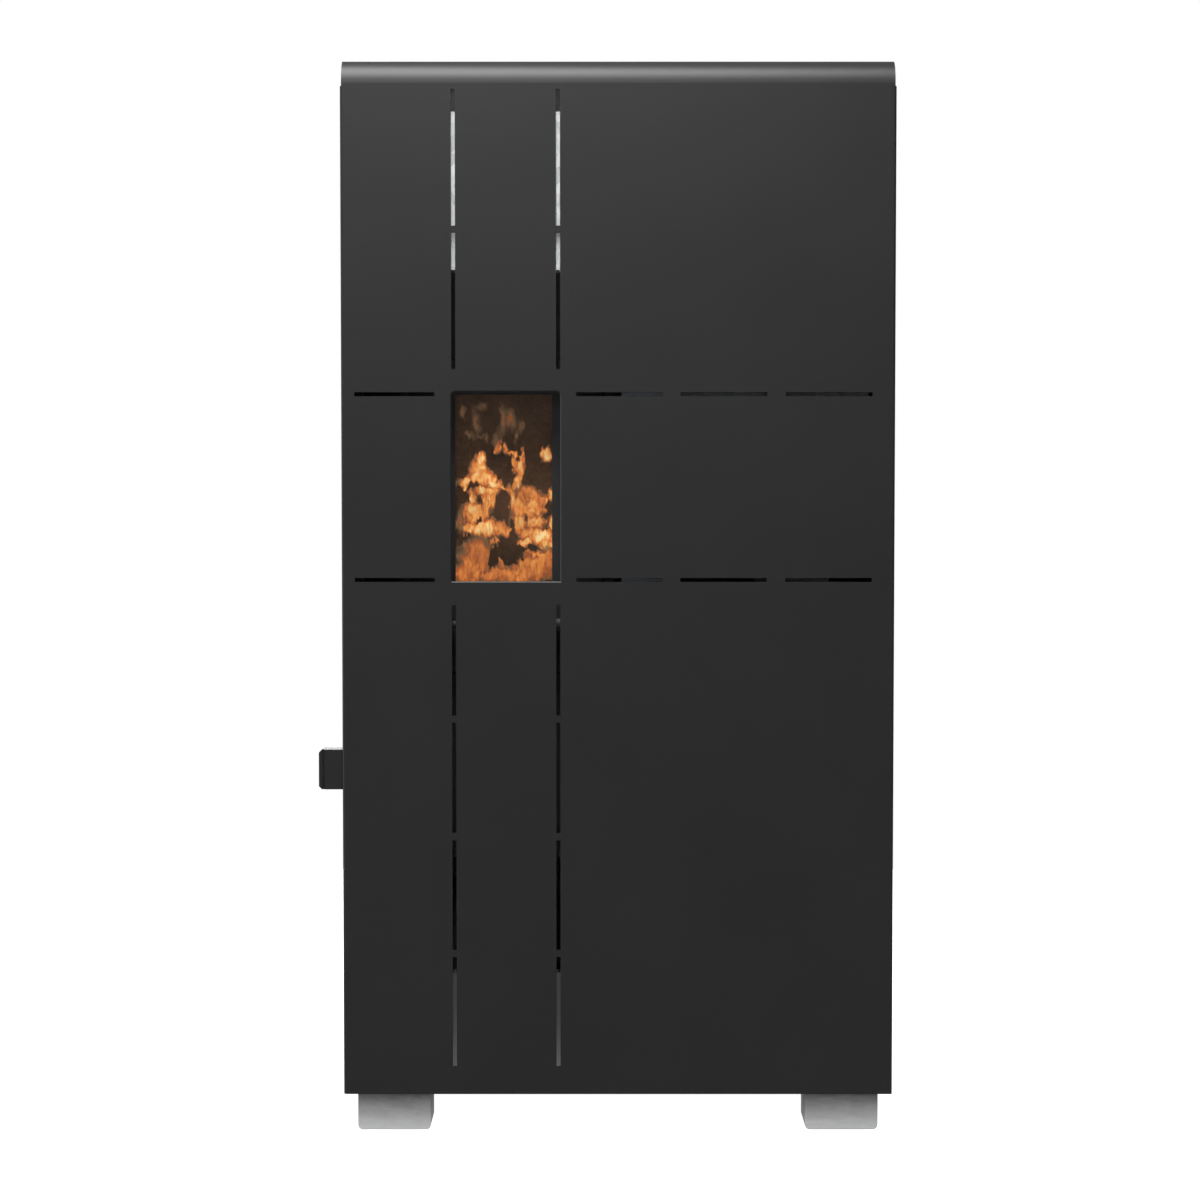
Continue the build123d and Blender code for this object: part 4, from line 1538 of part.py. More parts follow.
def make_control_box():
    """Sheet box for the control electronics, open towards the rear and fixed to the pan."""
    front = BOX_BACK - BOX_DEPTH
    box = block(BOX_LEFT, BOX_RIGHT, front, BOX_BACK, BOX_BOTTOM, BOX_BOTTOM + BOX_HEIGHT)
    box -= block(BOX_LEFT + BOX_SHEET, BOX_RIGHT - BOX_SHEET, front + BOX_SHEET, BOX_BACK, BOX_BOTTOM + BOX_SHEET,
                 BOX_BOTTOM + BOX_HEIGHT - BOX_SHEET)
    box += block(BOX_LEFT, BOX_RIGHT, front, front + BOX_SHEET, PAN_TOP, BOX_BOTTOM)
    return box


def make_circuit_boards():
    """Main circuit board with a transformer, relays and a terminal row, and the control panel's board."""
    front = BOX_BACK - BOX_DEPTH + BOX_SHEET
    x_low, x_high = BOX_LEFT + BOARD_MARGIN, BOX_RIGHT - BOARD_MARGIN
    z_low, z_high = BOX_BOTTOM + BOARD_LOW_MARGIN, BOX_BOTTOM + BOX_HEIGHT - BOARD_MARGIN
    face = front + BOARD_STAND_OFF + BOARD_THICKNESS
    board = block(x_low, x_high, front + BOARD_STAND_OFF, face, z_low, z_high)
    for x in (x_low + BOARD_POST_INSET, x_high - BOARD_POST_INSET):
        for z in (z_low + BOARD_POST_INSET, z_high - BOARD_POST_INSET):
            board += rod((x, front, z), (x, face, z), BOARD_POST_RADIUS)
    top = z_high - TRANSFORMER_TOP_INSET
    x = x_low + TERMINAL_INSET
    board += block(x, x + TRANSFORMER_WIDTH, face, face + TRANSFORMER_DEPTH, top - TRANSFORMER_WIDTH, top)
    for index in range(RELAY_COUNT):
        x = x_low + TERMINAL_INSET + TRANSFORMER_WIDTH + TRANSFORMER_TOP_INSET + RELAY_PITCH * index
        board += block(x, x + RELAY_WIDTH, face, face + RELAY_DEPTH, top - RELAY_HEIGHT, top)
    z = z_low + BOARD_POST_INSET
    board += block(x_low + TERMINAL_INSET, x_high - TERMINAL_INSET, face, face + TERMINAL_DEPTH, z,
                   z + TERMINAL_HEIGHT)
    return group([board, panel_board()])


def make_mains_inlet():
    """Mains module: one flange with the inlet's recess and flat pins, and the switch frame with its pin."""
    half_w = INLET_WIDTH / 2
    half_h = INLET_HEIGHT / 2
    floor = BACK - INLET_DEPTH + INLET_WALL
    face = BACK + INLET_FLANGE_THICKNESS
    body = block(INLET_X - half_w, INLET_X + half_w, BACK - INLET_DEPTH, BACK, INLET_Z - half_h, INLET_Z + half_h)
    body += block(INLET_X - half_w - INLET_FLANGE, SWITCH_X + SWITCH_WIDTH / 2 + INLET_FLANGE, BACK, face,
                  INLET_Z - half_h - INLET_FLANGE, INLET_Z + half_h + INLET_FLANGE)
    recess_w = INLET_RECESS_WIDTH / 2
    recess_h = INLET_RECESS_HEIGHT / 2
    recess = block(INLET_X - recess_w, INLET_X + recess_w, floor, face, INLET_Z - recess_h, INLET_Z + recess_h)
    body -= chamfer(recess.edges().filter_by(Axis.Y).group_by(Axis.Z)[-1], INLET_RECESS_CHAMFER)
    for x, z in ((-INLET_PIN_PITCH, -INLET_PIN_DROP), (0.0, INLET_PIN_RISE), (INLET_PIN_PITCH, -INLET_PIN_DROP)):
        body += block(INLET_X + x - INLET_PIN_WIDTH / 2, INLET_X + x + INLET_PIN_WIDTH / 2, floor,
                      floor + INLET_PIN_LENGTH, INLET_Z + z - INLET_PIN_HEIGHT / 2,
                      INLET_Z + z + INLET_PIN_HEIGHT / 2)
    half_w = SWITCH_WIDTH / 2
    half_h = SWITCH_HEIGHT / 2
    wall = SWITCH_WALL
    body += block(SWITCH_X - half_w, SWITCH_X + half_w, BACK - SWITCH_DEPTH, BACK, INLET_Z - half_h,
                  INLET_Z + half_h)
    body -= block(SWITCH_X - half_w + wall, SWITCH_X + half_w - wall, BACK - SWITCH_DEPTH + wall * 2, face,
                  INLET_Z - half_h + wall, INLET_Z + half_h - wall)
    axis_y = BACK - SWITCH_AXIS_DEPTH
    return body + rod((SWITCH_X - half_w, axis_y, INLET_Z), (SWITCH_X + half_w, axis_y, INLET_Z), SWITCH_PIN_RADIUS)


def make_power_switch():
    """Rocker of the power switch, bored for the frame's pin."""
    half_w = SWITCH_WIDTH / 2 - SWITCH_WALL - RUNNING_GAP
    radius = SWITCH_HEIGHT / 2 - SWITCH_WALL - RUNNING_GAP * 2
    axis_y = BACK - SWITCH_AXIS_DEPTH
    left = (SWITCH_X - half_w, axis_y, INLET_Z)
    right = (SWITCH_X + half_w, axis_y, INLET_Z)
    keep = block(SWITCH_X - half_w, SWITCH_X + half_w, axis_y - SWITCH_AXIS_DEPTH / 2, axis_y + radius,
                 INLET_Z - radius, INLET_Z + radius)
    dish_y = axis_y + radius * ROCKER_DISH_REACH
    dish = rod((SWITCH_X - half_w, dish_y, INLET_Z), (SWITCH_X + half_w, dish_y, INLET_Z),
               radius * ROCKER_DISH_RADIUS)
    return (rod(left, right, radius) & keep) - dish - rod(left, right, SWITCH_PIN_RADIUS + SWITCH_PIN_CLEARANCE)


def pressure_nipple():
    """Top of the pressure switch's hose nipple."""
    return Vector(PRESSURE_X, PRESSURE_Y + PRESSURE_THICKNESS / 2, PRESSURE_Z + PRESSURE_RADIUS + NIPPLE_LENGTH)


def make_pressure_switch():
    """Round pressure switch with its hose nipple, on a post from the pan."""
    back = PRESSURE_Y + PRESSURE_THICKNESS
    switch = rod((PRESSURE_X, PRESSURE_Y, PRESSURE_Z), (PRESSURE_X, back, PRESSURE_Z), PRESSURE_RADIUS)
    switch += rod((PRESSURE_X, back, PRESSURE_Z), (PRESSURE_X, back + PRESSURE_CAP, PRESSURE_Z), PRESSURE_RADIUS / 2)
    nipple = pressure_nipple()
    switch += rod(nipple - Vector(0, 0, NIPPLE_LENGTH + HOSE_RADIUS), nipple, HOSE_RADIUS)
    half = PRESSURE_POST_WIDTH / 2
    switch += block(PRESSURE_X - half, PRESSURE_X + half, PRESSURE_Y - CASING_SHEET, PRESSURE_Y, PAN_TOP,
                    PRESSURE_Z + half)
    return switch


def make_vacuum_hose():
    """Silicone hose from the pressure switch's nipple to the side of the exhaust housing."""
    start = pressure_nipple()
    end_y = SMOKE_BACK + EXHAUST_DEPTH * 3 / 4
    end = Vector(FLUE_X + FLUE_RADIUS, end_y, FLUE_Z)
    first_turn = Vector(start.X, start.Y, FLUE_Z)
    second_turn = Vector(start.X, end.Y, FLUE_Z)
    radius = min((first_turn - second_turn).length, (end - second_turn).length) * HOSE_TURN_SHARE
    path = FilletPolyline(start, first_turn, second_turn, end, radius=radius)
    section = Plane(origin=path @ 0, z_dir=path % 0) * Circle(HOSE_RADIUS)
    return sweep(section, path=path)


def thermostat_rod(y_low, y_high, radius):
    """Rod along the thermostat's axis."""
    return rod((THERMOSTAT_X, y_low, THERMOSTAT_Z), (THERMOSTAT_X, y_high, THERMOSTAT_Z), radius)


def make_safety_thermostat():
    """Safety thermostat behind the rear panel, with a guide for its reset button."""
    face = BACK + THERMOSTAT_FLANGE
    body = thermostat_rod(BACK - THERMOSTAT_LENGTH, BACK, THERMOSTAT_RADIUS)
    body += thermostat_rod(BACK, face, THERMOSTAT_RADIUS + THERMOSTAT_FLANGE)
    return body - thermostat_rod(BACK - RESET_BORE_DEPTH, face, RESET_RADIUS + RESET_CLEARANCE)


def make_reset_button():
    """Reset button of the safety thermostat."""
    button = thermostat_rod(BACK - RESET_BORE_DEPTH + RESET_ROOM, BACK + THERMOSTAT_FLANGE + RESET_PROUD, RESET_RADIUS)
    return fillet(button.edges().group_by(Axis.Y)[-1], RESET_RADIUS / 5)


# ---------------------------------------------------------------- writing the pieces
PIECES = {
    "feet": make_feet,
    "casing_fasteners": make_casing_fasteners,
    "base_pan": make_base_pan,
    "side_panel_left": make_side_panel_left,
    "side_panel_right": make_side_panel_right,
    "rear_panel": make_rear_panel,
    "top_cover": make_top_cover,
    "lower_apron": make_lower_apron,
    "partition_plate": make_partition_plate,
    "hinge_brackets": make_hinge_brackets,
    "door_magnets": make_door_magnets,
    "front_panel": make_front_panel,
    "door_handle": make_door_handle,
    "door_hinge_pins": make_door_hinge_pins,
    "fire_door": make_fire_door,
    "door_glass": make_door_glass,
    "glass_clips": make_glass_clips,
    "door_seal": make_door_seal,
    "fire_door_latch": make_fire_door_latch,
    "firebox_shell": make_firebox_shell,
    "firebox_lining": make_firebox_lining,
    "baffle_plate": make_baffle_plate,
    "exchanger_tubes": make_exchanger_tubes,
    "burn_pot": make_burn_pot,
    "igniter": make_igniter,
    "firebox_stand": make_firebox_stand,
    "ash_drawer": make_ash_drawer,
    "warm_air_plenum": make_warm_air_plenum,
    "air_channel": make_air_channel,
    "blower_housing": make_blower_housing,
    "blower_motor": make_blower_motor,
    "blower_rotor": make_blower_rotor,
    "smoke_duct": make_smoke_duct,
    "exhaust_housing": make_exhaust_housing,
    "exhaust_motor": make_exhaust_motor,
    "exhaust_impeller": make_exhaust_impeller,
    "flue_collar": make_flue_collar,
    "air_inlet_pipe": make_air_inlet_pipe,
    "hopper": make_hopper,
    "hopper_guard": make_hopper_guard,
    "auger_tube": make_auger_tube,
    "auger_screw": make_auger_screw,
    "gear_motor": make_gear_motor,
    "pellet_chute": make_pellet_chute,
    "hopper_lid": make_hopper_lid,
    "lid_seal": make_lid_seal,
    "control_panel": make_control_panel,
    "display_window": make_display_window,
    "circuit_boards": make_circuit_boards,
    "control_box": make_control_box,
    "mains_inlet": make_mains_inlet,
    "power_switch": make_power_switch,
    "pressure_switch": make_pressure_switch,
    "vacuum_hose": make_vacuum_hose,
    "safety_thermostat": make_safety_thermostat,
    "reset_button": make_reset_button,
}


def write_piece(name, shape):
    """Write one piece, shifted to the stove's origin."""
    export_step(ORIGIN_SHIFT * shape, f"parts/{name}.step")


def main():
    """Make and write every piece."""
    os.makedirs("parts", exist_ok=True)
    for name, make in PIECES.items():
        write_piece(name, make())
    for index in range(len(button_places())):
        write_piece(f"panel_button_{index + 1}", make_button(index))


main()
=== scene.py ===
"""Dresses the pellet stove: finishes for its sheets, castings and plastics, a fire in its pot, and the studio."""

import json
import logging
import math
import random
from dataclasses import dataclass
from enum import Enum

import bpy
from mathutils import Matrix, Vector

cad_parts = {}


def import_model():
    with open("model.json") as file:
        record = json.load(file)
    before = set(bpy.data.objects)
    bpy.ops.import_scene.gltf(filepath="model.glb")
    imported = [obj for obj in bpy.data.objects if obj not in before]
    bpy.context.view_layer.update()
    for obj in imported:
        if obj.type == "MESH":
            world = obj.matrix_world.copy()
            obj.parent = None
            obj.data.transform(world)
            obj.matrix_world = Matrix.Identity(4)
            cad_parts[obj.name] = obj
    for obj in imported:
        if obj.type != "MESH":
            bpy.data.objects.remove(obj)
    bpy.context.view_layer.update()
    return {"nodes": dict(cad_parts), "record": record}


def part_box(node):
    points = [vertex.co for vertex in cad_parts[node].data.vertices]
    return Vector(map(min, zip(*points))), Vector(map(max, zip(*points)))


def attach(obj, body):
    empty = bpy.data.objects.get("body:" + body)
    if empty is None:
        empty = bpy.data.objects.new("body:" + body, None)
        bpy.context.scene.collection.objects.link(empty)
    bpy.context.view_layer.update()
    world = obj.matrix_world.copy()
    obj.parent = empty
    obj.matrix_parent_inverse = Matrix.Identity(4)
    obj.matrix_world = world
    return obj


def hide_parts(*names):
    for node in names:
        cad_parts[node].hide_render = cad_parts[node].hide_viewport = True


LOG = logging.getLogger("pellet_stove")
Colour = tuple[float, float, float]
Point = tuple[float, float, float]
MM = 0.001
FLAT = 1000.0  # a scale so large that a lick doesn't change from front to back
SMOKE_HEAT = 0.3  # below this heat a lick is smoke, with a softer edge
LICK_EDGE = 1.42  # where a lick's heat ends, in half sizes
GAP_EDGE = 1.05
SMOKE_EDGE = 1.6
TEARS = ((38.0, 0.8), (120.0, 0.85), (340.0, 0.5))  # how fine, and how strong a share
FLAME_COLOURS = (
    (0.0, (0.05, 0.018, 0.016)), (0.1, (0.09, 0.045, 0.025)), (0.22, (0.19, 0.105, 0.05)),
    (0.32, (0.36, 0.085, 0.02)), (0.46, (0.60, 0.17, 0.04)), (0.60, (0.86, 0.28, 0.055)),
    (0.78, (0.98, 0.48, 0.14)), (0.95, (1.0, 0.74, 0.34)),
)


# ------------------------------------------------------------------ node sketches
class Sketch:
    """A material under construction: one Principled shader, and the nodes that feed it."""

    def __init__(self, name: str) -> None:
        """Starts an empty material.

        Args:
            name: The material's name.
        """
        self.material = bpy.data.materials.new(name)
        self.material.use_nodes = True
        self.tree = self.material.node_tree
        self.tree.nodes.clear()
        self.shader = self.add("ShaderNodeBsdfPrincipled")
        output = self.add("ShaderNodeOutputMaterial")
        self.tree.links.new(self.shader.outputs[0], output.inputs["Surface"])
        self.place = self.add("ShaderNodeTexCoord").outputs["Object"]

    def add(self, kind: str, **settings: object) -> bpy.types.Node:
        """Adds one node.

        Args:
            kind: The node's type.
            settings: Properties to set on it.

        Returns:
            The new node.
        """
        node = self.tree.nodes.new(kind)
        for key, value in settings.items():
            setattr(node, key, value)
        return node

    def feed(self, node: bpy.types.Node, **inputs: object) -> bpy.types.Node:
        """Sets or links a node's inputs, whose names use _ for a space.

        Args:
            node: The node to feed.
            inputs: A constant or an output socket for each named input.

        Returns:
            The same node.
        """
        for key, value in inputs.items():
            socket = node.inputs[key.replace("_", " ")]
            if isinstance(value, bpy.types.NodeSocket):
                self.tree.links.new(value, socket)
            elif isinstance(value, tuple) and len(value) == 3 and socket.type == "RGBA":
                socket.default_value = (*value, 1.0)
            else:
                socket.default_value = value
        return node

    def stretched(self, stretch: Point, move: Point = (0.0, 0.0, 0.0)) -> bpy.types.NodeSocket:
        """Object coordinates, moved and stretched."""
        node = self.add("ShaderNodeMapping")
        self.feed(node, Vector=self.place, Scale=stretch, Location=move)
        return node.outputs["Vector"]

    def noise(self, scale: float, detail: float = 3.0, roughness: float = 0.5,
              vector: bpy.types.NodeSocket | None = None, distortion: float = 0.0) -> bpy.types.NodeSocket:
        """A noise value around 0.5."""
        node = self.add("ShaderNodeTexNoise")
        self.feed(node, Vector=vector or self.place, Scale=scale, Detail=detail, Roughness=roughness,
                  Distortion=distortion)
        return node.outputs["Fac"]

    def cells(self, scale: float, feature: str = "F1", vector: bpy.types.NodeSocket | None = None) -> bpy.types.Node:
        """A Voronoi texture node."""
        node = self.add("ShaderNodeTexVoronoi", feature=feature)
        return self.feed(node, Vector=vector or self.place, Scale=scale)

    def ramp(self, value: bpy.types.NodeSocket, *stops: tuple[float, Colour]) -> bpy.types.NodeSocket:
        """A colour ramp over a value.

        Args:
            value: The value that drives the ramp.
            stops: Positions with their colours.

        Returns:
            The ramp's colour.
        """
        node = self.add("ShaderNodeValToRGB")
        self.tree.links.new(value, node.inputs["Fac"])
        while len(node.color_ramp.elements) < len(stops):
            node.color_ramp.elements.new(0.5)
        for element, (position, colour) in zip(node.color_ramp.elements, stops):
            element.position = position
            element.color = (*colour, 1.0)
        return node.outputs["Color"]

    def span(self, value: bpy.types.NodeSocket, low: float, high: float, start: float,
             end: float) -> bpy.types.NodeSocket:
        """Maps a value's range low..high to start..end, clamped."""
        node = self.add("ShaderNodeMapRange")
        self.tree.links.new(value, node.inputs["Value"])
        for key, number in (("From Min", low), ("From Max", high), ("To Min", start), ("To Max", end)):
            node.inputs[key].default_value = number
        return node.outputs["Result"]

    def sum(self, operation: str, first: object, second: object) -> bpy.types.NodeSocket:
        """One arithmetic step on two values or sockets."""
        node = self.add("ShaderNodeMath", operation=operation)
        for socket, value in zip(node.inputs, (first, second)):
            if isinstance(value, bpy.types.NodeSocket):
                self.tree.links.new(value, socket)
            else:
                socket.default_value = value
        return node.outputs[0]

    def mix(self, share: object, first: object, second: object) -> bpy.types.NodeSocket:
        """A mix of two colours."""
        node = self.add("ShaderNodeMix", data_type="RGBA")
        for socket, value in ((node.inputs[0], share), (node.inputs[6], first), (node.inputs[7], second)):
            if isinstance(value, bpy.types.NodeSocket):
                self.tree.links.new(value, socket)
            elif socket.type == "RGBA":
                socket.default_value = (*value, 1.0)
            else:
                socket.default_value = value
        return node.outputs[2]

    def bump(self, height: bpy.types.NodeSocket, depth: float, strength: float = 1.0,
             over: bpy.types.NodeSocket | None = None) -> bpy.types.NodeSocket:
        """A bump of the given depth in metres, on top of another bump if one is given."""
        node = self.feed(self.add("ShaderNodeBump"), Height=height, Distance=depth, Strength=strength)
        if over is not None:
            self.tree.links.new(over, node.inputs["Normal"])
        return node.outputs["Normal"]


# ------------------------------------------------------------------ finishes
@dataclass(frozen=True)
class PowderCoat:
    """Satin powder coat on sheet steel: orange peel, fine grain and a faint unevenness of tone."""

    name: str
    colour: Colour
    roughness: float = 0.42
    peel: float = 2.2
    grain: float = 0.35
    depth: float = 0.05
    shine: float = 0.36
    darkest: float = 0.93
    lightest: float = 1.11

    def make(self) -> bpy.types.Material:
        """Builds the material."""
        s = Sketch(self.name)
        peel = s.noise(1.0 / (self.peel * MM), 2.0)
        grain = s.noise(1.0 / (self.grain * MM), 2.0, 0.6)
        tone = s.noise(7.0, 4.0, 0.55)
        light = tuple(min(1.0, c * self.lightest) for c in self.colour)
        dark = tuple(c * self.darkest for c in self.colour)
        base = s.mix(s.span(tone, 0.3, 0.7, 0.0, 1.0), dark, light)
        speck = s.ramp(grain, (0.45, (1.0, 1.0, 1.0)), (0.75, (1.35, 1.35, 1.35)))
        tint = s.add("ShaderNodeMix", data_type="RGBA", blend_type="MULTIPLY")
        tint.inputs[0].default_value = 1.0
        s.tree.links.new(base, tint.inputs[6])
        s.tree.links.new(speck, tint.inputs[7])
        rough = s.span(grain, 0.3, 0.7, self.roughness - 0.05, self.roughness + 0.07)
        normal = s.bump(peel, self.depth * MM, 0.35)
        normal = s.bump(grain, self.depth * MM * 0.4, 0.5, normal)
        s.feed(s.shader, Base_Color=tint.outputs[2], Roughness=rough, Normal=normal, Metallic=0.0)
        s.shader.inputs["Specular IOR Level"].default_value = self.shine
        return s.material


@dataclass(frozen=True)
class Galvanised:
    """Hot-dip zinc with its spangle of bright and dull crystals."""

    name: str
    colour: Colour
    crystal: float = 9.0
    roughness: float = 0.42
    dullest: float = 0.6
    brightest: float = 1.16
    metallic: float = 0.2

    def make(self) -> bpy.types.Material:
        """Builds the material."""
        s = Sketch(self.name)
        warp = s.noise(60.0, 2.0)
        node = s.cells(1.0 / (self.crystal * MM))
        node.inputs["Randomness"].default_value = 1.0
        tone = s.add("ShaderNodeSeparateColor")
        s.tree.links.new(node.outputs["Color"], tone.inputs[0])
        facet = s.sum("ADD", s.sum("MULTIPLY", tone.outputs[0], 0.75), s.sum("MULTIPLY", warp, 0.25))
        low = tuple(c * self.dullest for c in self.colour)
        high = tuple(min(1.0, c * self.brightest) for c in self.colour)
        base = s.mix(facet, low, high)
        rough = s.span(tone.outputs[1], 0.0, 1.0, self.roughness - 0.12, self.roughness + 0.12)
        normal = s.bump(tone.outputs[2], 0.02 * MM, 0.4)
        s.feed(s.shader, Base_Color=base, Roughness=rough, Normal=normal, Metallic=self.metallic)
        return s.material


@dataclass(frozen=True)
class Metal:
    """Bare or plated metal with brush lines along one way."""

    name: str
    colour: Colour
    roughness: float = 0.3
    brush: Point = (1.0, 1.0, 1.0)
    lines: float = 900.0
    tarnish: float = 0.2
    metallic: float = 1.0

    def make(self) -> bpy.types.Material:
        """Builds the material."""
        s = Sketch(self.name)
        lines = s.noise(self.lines, 3.0, 0.6, s.stretched(self.brush))
        cloud = s.noise(24.0, 4.0, 0.6)
        dull = tuple(c * (1.0 - self.tarnish) for c in self.colour)
        base = s.mix(s.span(cloud, 0.35, 0.7, 0.0, 1.0), self.colour, dull)
        rough = s.sum("ADD", s.span(lines, 0.3, 0.7, self.roughness - 0.07, self.roughness + 0.09),
                      s.span(cloud, 0.3, 0.7, 0.0, 0.06))
        s.feed(s.shader, Base_Color=base, Roughness=rough, Normal=s.bump(lines, 0.015 * MM, 0.5),
               Metallic=self.metallic)
        return s.material


@dataclass(frozen=True)
class FootPaintedShade:
    """Grey metal foot, painted darker towards the top and paler towards the floor: painted shade under the stove's
    body and painted light from the floor.
    """

    name: str
    upper: Colour
    lower: Colour
    top: float = 36.0 * MM
    bottom: float = 2.0 * MM

    def make(self) -> bpy.types.Material:
        """Builds the material."""
        s = Sketch(self.name)
        grain = s.noise(420.0, 4.0, 0.6)
        # streaky noise that moves where the painted shade gives way to the painted floor light
        shade_jitter = s.noise(60.0, 4.0, 0.65, s.stretched((1.0, 1.0, 3.0)))
        split = s.add("ShaderNodeSeparateXYZ")
        s.tree.links.new(s.place, split.inputs[0])
        # painted shade: dark at the top of the foot under the body, pale near the floor where painted floor light
        # falls
        share = s.span(split.outputs["Z"], self.bottom, self.top, 1.0, 0.0)
        share = s.sum("ADD", share, s.span(shade_jitter, 0.3, 0.7, -0.07, 0.07))
        s.feed(s.shader, Base_Color=s.mix(share, self.upper, self.lower), Metallic=0.25,
               Roughness=s.span(grain, 0.3, 0.7, 0.4, 0.54), Normal=s.bump(grain, 0.03 * MM, 0.6))
        return s.material


@dataclass(frozen=True)
class Casting:
    """Sand-cast iron under heat-proof paint, with its coarse skin."""

    name: str
    colour: Colour
    ash: Colour = (0.2, 0.19, 0.18)
    ash_share: float = 0.1
    roughness: float = 0.62

    def make(self) -> bpy.types.Material:
        """Builds the material."""
        s = Sketch(self.name)
        skin = s.noise(700.0, 4.0, 0.65)
        lumps = s.noise(170.0, 2.0)
        dust = s.noise(38.0, 5.0, 0.65)
        share = s.sum("MULTIPLY", s.span(dust, 0.45, 0.75, 0.0, 1.0), self.ash_share)
        base = s.mix(share, self.colour, self.ash)
        rough = s.span(skin, 0.3, 0.7, self.roughness - 0.08, self.roughness + 0.12)
        normal = s.bump(skin, 0.12 * MM, 0.5, s.bump(lumps, 0.25 * MM, 0.35))
        s.feed(s.shader, Base_Color=base, Roughness=rough, Normal=normal)
        return s.material


@dataclass(frozen=True)
class Mineral:
    """Pressed vermiculite plate: glinting flakes, soot and heat stains."""

    name: str
    colour: Colour
    soot: Colour = (0.03, 0.025, 0.02)

    def make(self) -> bpy.types.Material:
        """Builds the material."""
        s = Sketch(self.name)
        flakes = s.cells(520.0)
        tone = s.add("ShaderNodeSeparateColor")
        s.tree.links.new(flakes.outputs["Color"], tone.inputs[0])
        smoke = s.noise(11.0, 5.0, 0.6)
        pale = tuple(min(1.0, c * 1.5) for c in self.colour)
        base = s.mix(s.span(smoke, 0.4, 0.62, 0.0, 1.0), s.mix(tone.outputs[0], self.colour, pale), self.soot)
        normal = s.bump(flakes.outputs["Distance"], 0.3 * MM, 0.5)
        s.feed(s.shader, Base_Color=base, Roughness=s.span(tone.outputs[1], 0.0, 1.0, 0.6, 0.95), Normal=normal)
        return s.material


@dataclass(frozen=True)
class Moulded:
    """Moulded plastic or rubber with a spark-eroded texture."""

    name: str
    colour: Colour
    roughness: float = 0.5
    grain: float = 0.5
    depth: float = 0.03

    def make(self) -> bpy.types.Material:
        """Builds the material."""
        s = Sketch(self.name)
        grain = s.noise(1.0 / (self.grain * MM), 3.0, 0.6)
        tone = s.noise(40.0, 3.0)
        pale = tuple(min(1.0, c * 1.12 + 0.002) for c in self.colour)
        base = s.mix(s.span(tone, 0.3, 0.7, 0.0, 1.0), self.colour, pale)
        rough = s.span(grain, 0.3, 0.7, self.roughness - 0.05, self.roughness + 0.08)
        s.feed(s.shader, Base_Color=base, Roughness=rough, Normal=s.bump(grain, self.depth * MM, 0.6))
        return s.material


@dataclass(frozen=True)
class HotGlass:
    """Ceramic glass: a faint amber body with a breath of soot in patches."""

    name: str
    colour: Colour
    alpha: float = 0.16

    def make(self) -> bpy.types.Material:
        """Builds the material."""
        s = Sketch(self.name)
        film = s.noise(24.0, 4.0, 0.6)
        base = s.mix(s.span(film, 0.4, 0.75, 0.0, 1.0), self.colour, (0.05, 0.035, 0.02))
        alpha = s.span(film, 0.35, 0.8, self.alpha, self.alpha + 0.22)
        s.feed(s.shader, Base_Color=base, Roughness=s.span(film, 0.3, 0.8, 0.04, 0.16), Alpha=alpha)
        return s.material


@dataclass(frozen=True)
class CircuitBoard:
    """Green solder mask with copper tracks under it."""

    name: str
    colour: Colour

    def make(self) -> bpy.types.Material:
        """Builds the material."""
        s = Sketch(self.name)
        tracks = s.cells(240.0, "DISTANCE_TO_EDGE", s.stretched((1.0, 1.0, 0.45)))
        line = s.span(tracks.outputs["Distance"], 0.03, 0.07, 1.0, 0.0)
        base = s.mix(line, self.colour, tuple(min(1.0, c * 1.9 + 0.02) for c in self.colour))
        s.feed(s.shader, Base_Color=base, Roughness=s.span(line, 0.0, 1.0, 0.25, 0.4),
               Normal=s.bump(line, 0.03 * MM, 0.6))
        return s.material


@dataclass(frozen=True)
class KnittedRope:
    """Knitted glass yarn, sooty outside."""

    name: str
    colour: Colour

    def make(self) -> bpy.types.Material:
        """Builds the material."""
        s = Sketch(self.name)
        yarn = s.noise(1500.0, 4.0, 0.7)
        soot = s.noise(45.0, 3.0)
        base = s.mix(s.span(soot, 0.35, 0.7, 0.0, 1.0), self.colour, tuple(c * 0.45 for c in self.colour))
        s.feed(s.shader, Base_Color=base, Roughness=s.span(yarn, 0.3, 0.7, 0.8, 1.0),
               Normal=s.bump(yarn, 0.2 * MM, 0.8))
        s.shader.inputs["Sheen Weight"].default_value = 0.25
        return s.material


@dataclass(frozen=True)
class Lick:
    """One lick of flame or, with a negative heat, one dark gap: an ellipse in the plane of the stove's front.

    Middle and half sizes are in millimetres, and the lean is in degrees, clockwise from the front.
    """

    x: float
    z: float
    half_width: float
    half_height: float
    lean: float
    heat: float

    def holds(self, x: float, z: float, room: float = 5.0) -> bool:
        """Whether the lick, with room round it for its torn edge, covers a point in metres."""
        turn = math.radians(self.lean)
        right, up = x / MM - self.x, z / MM - self.z
        across = (right * math.cos(turn) - up * math.sin(turn)) / (self.half_width + room)
        along = (right * math.sin(turn) + up * math.cos(turn)) / (self.half_height + room)
        return self.heat > 0.0 and math.hypot(across, along) < LICK_EDGE


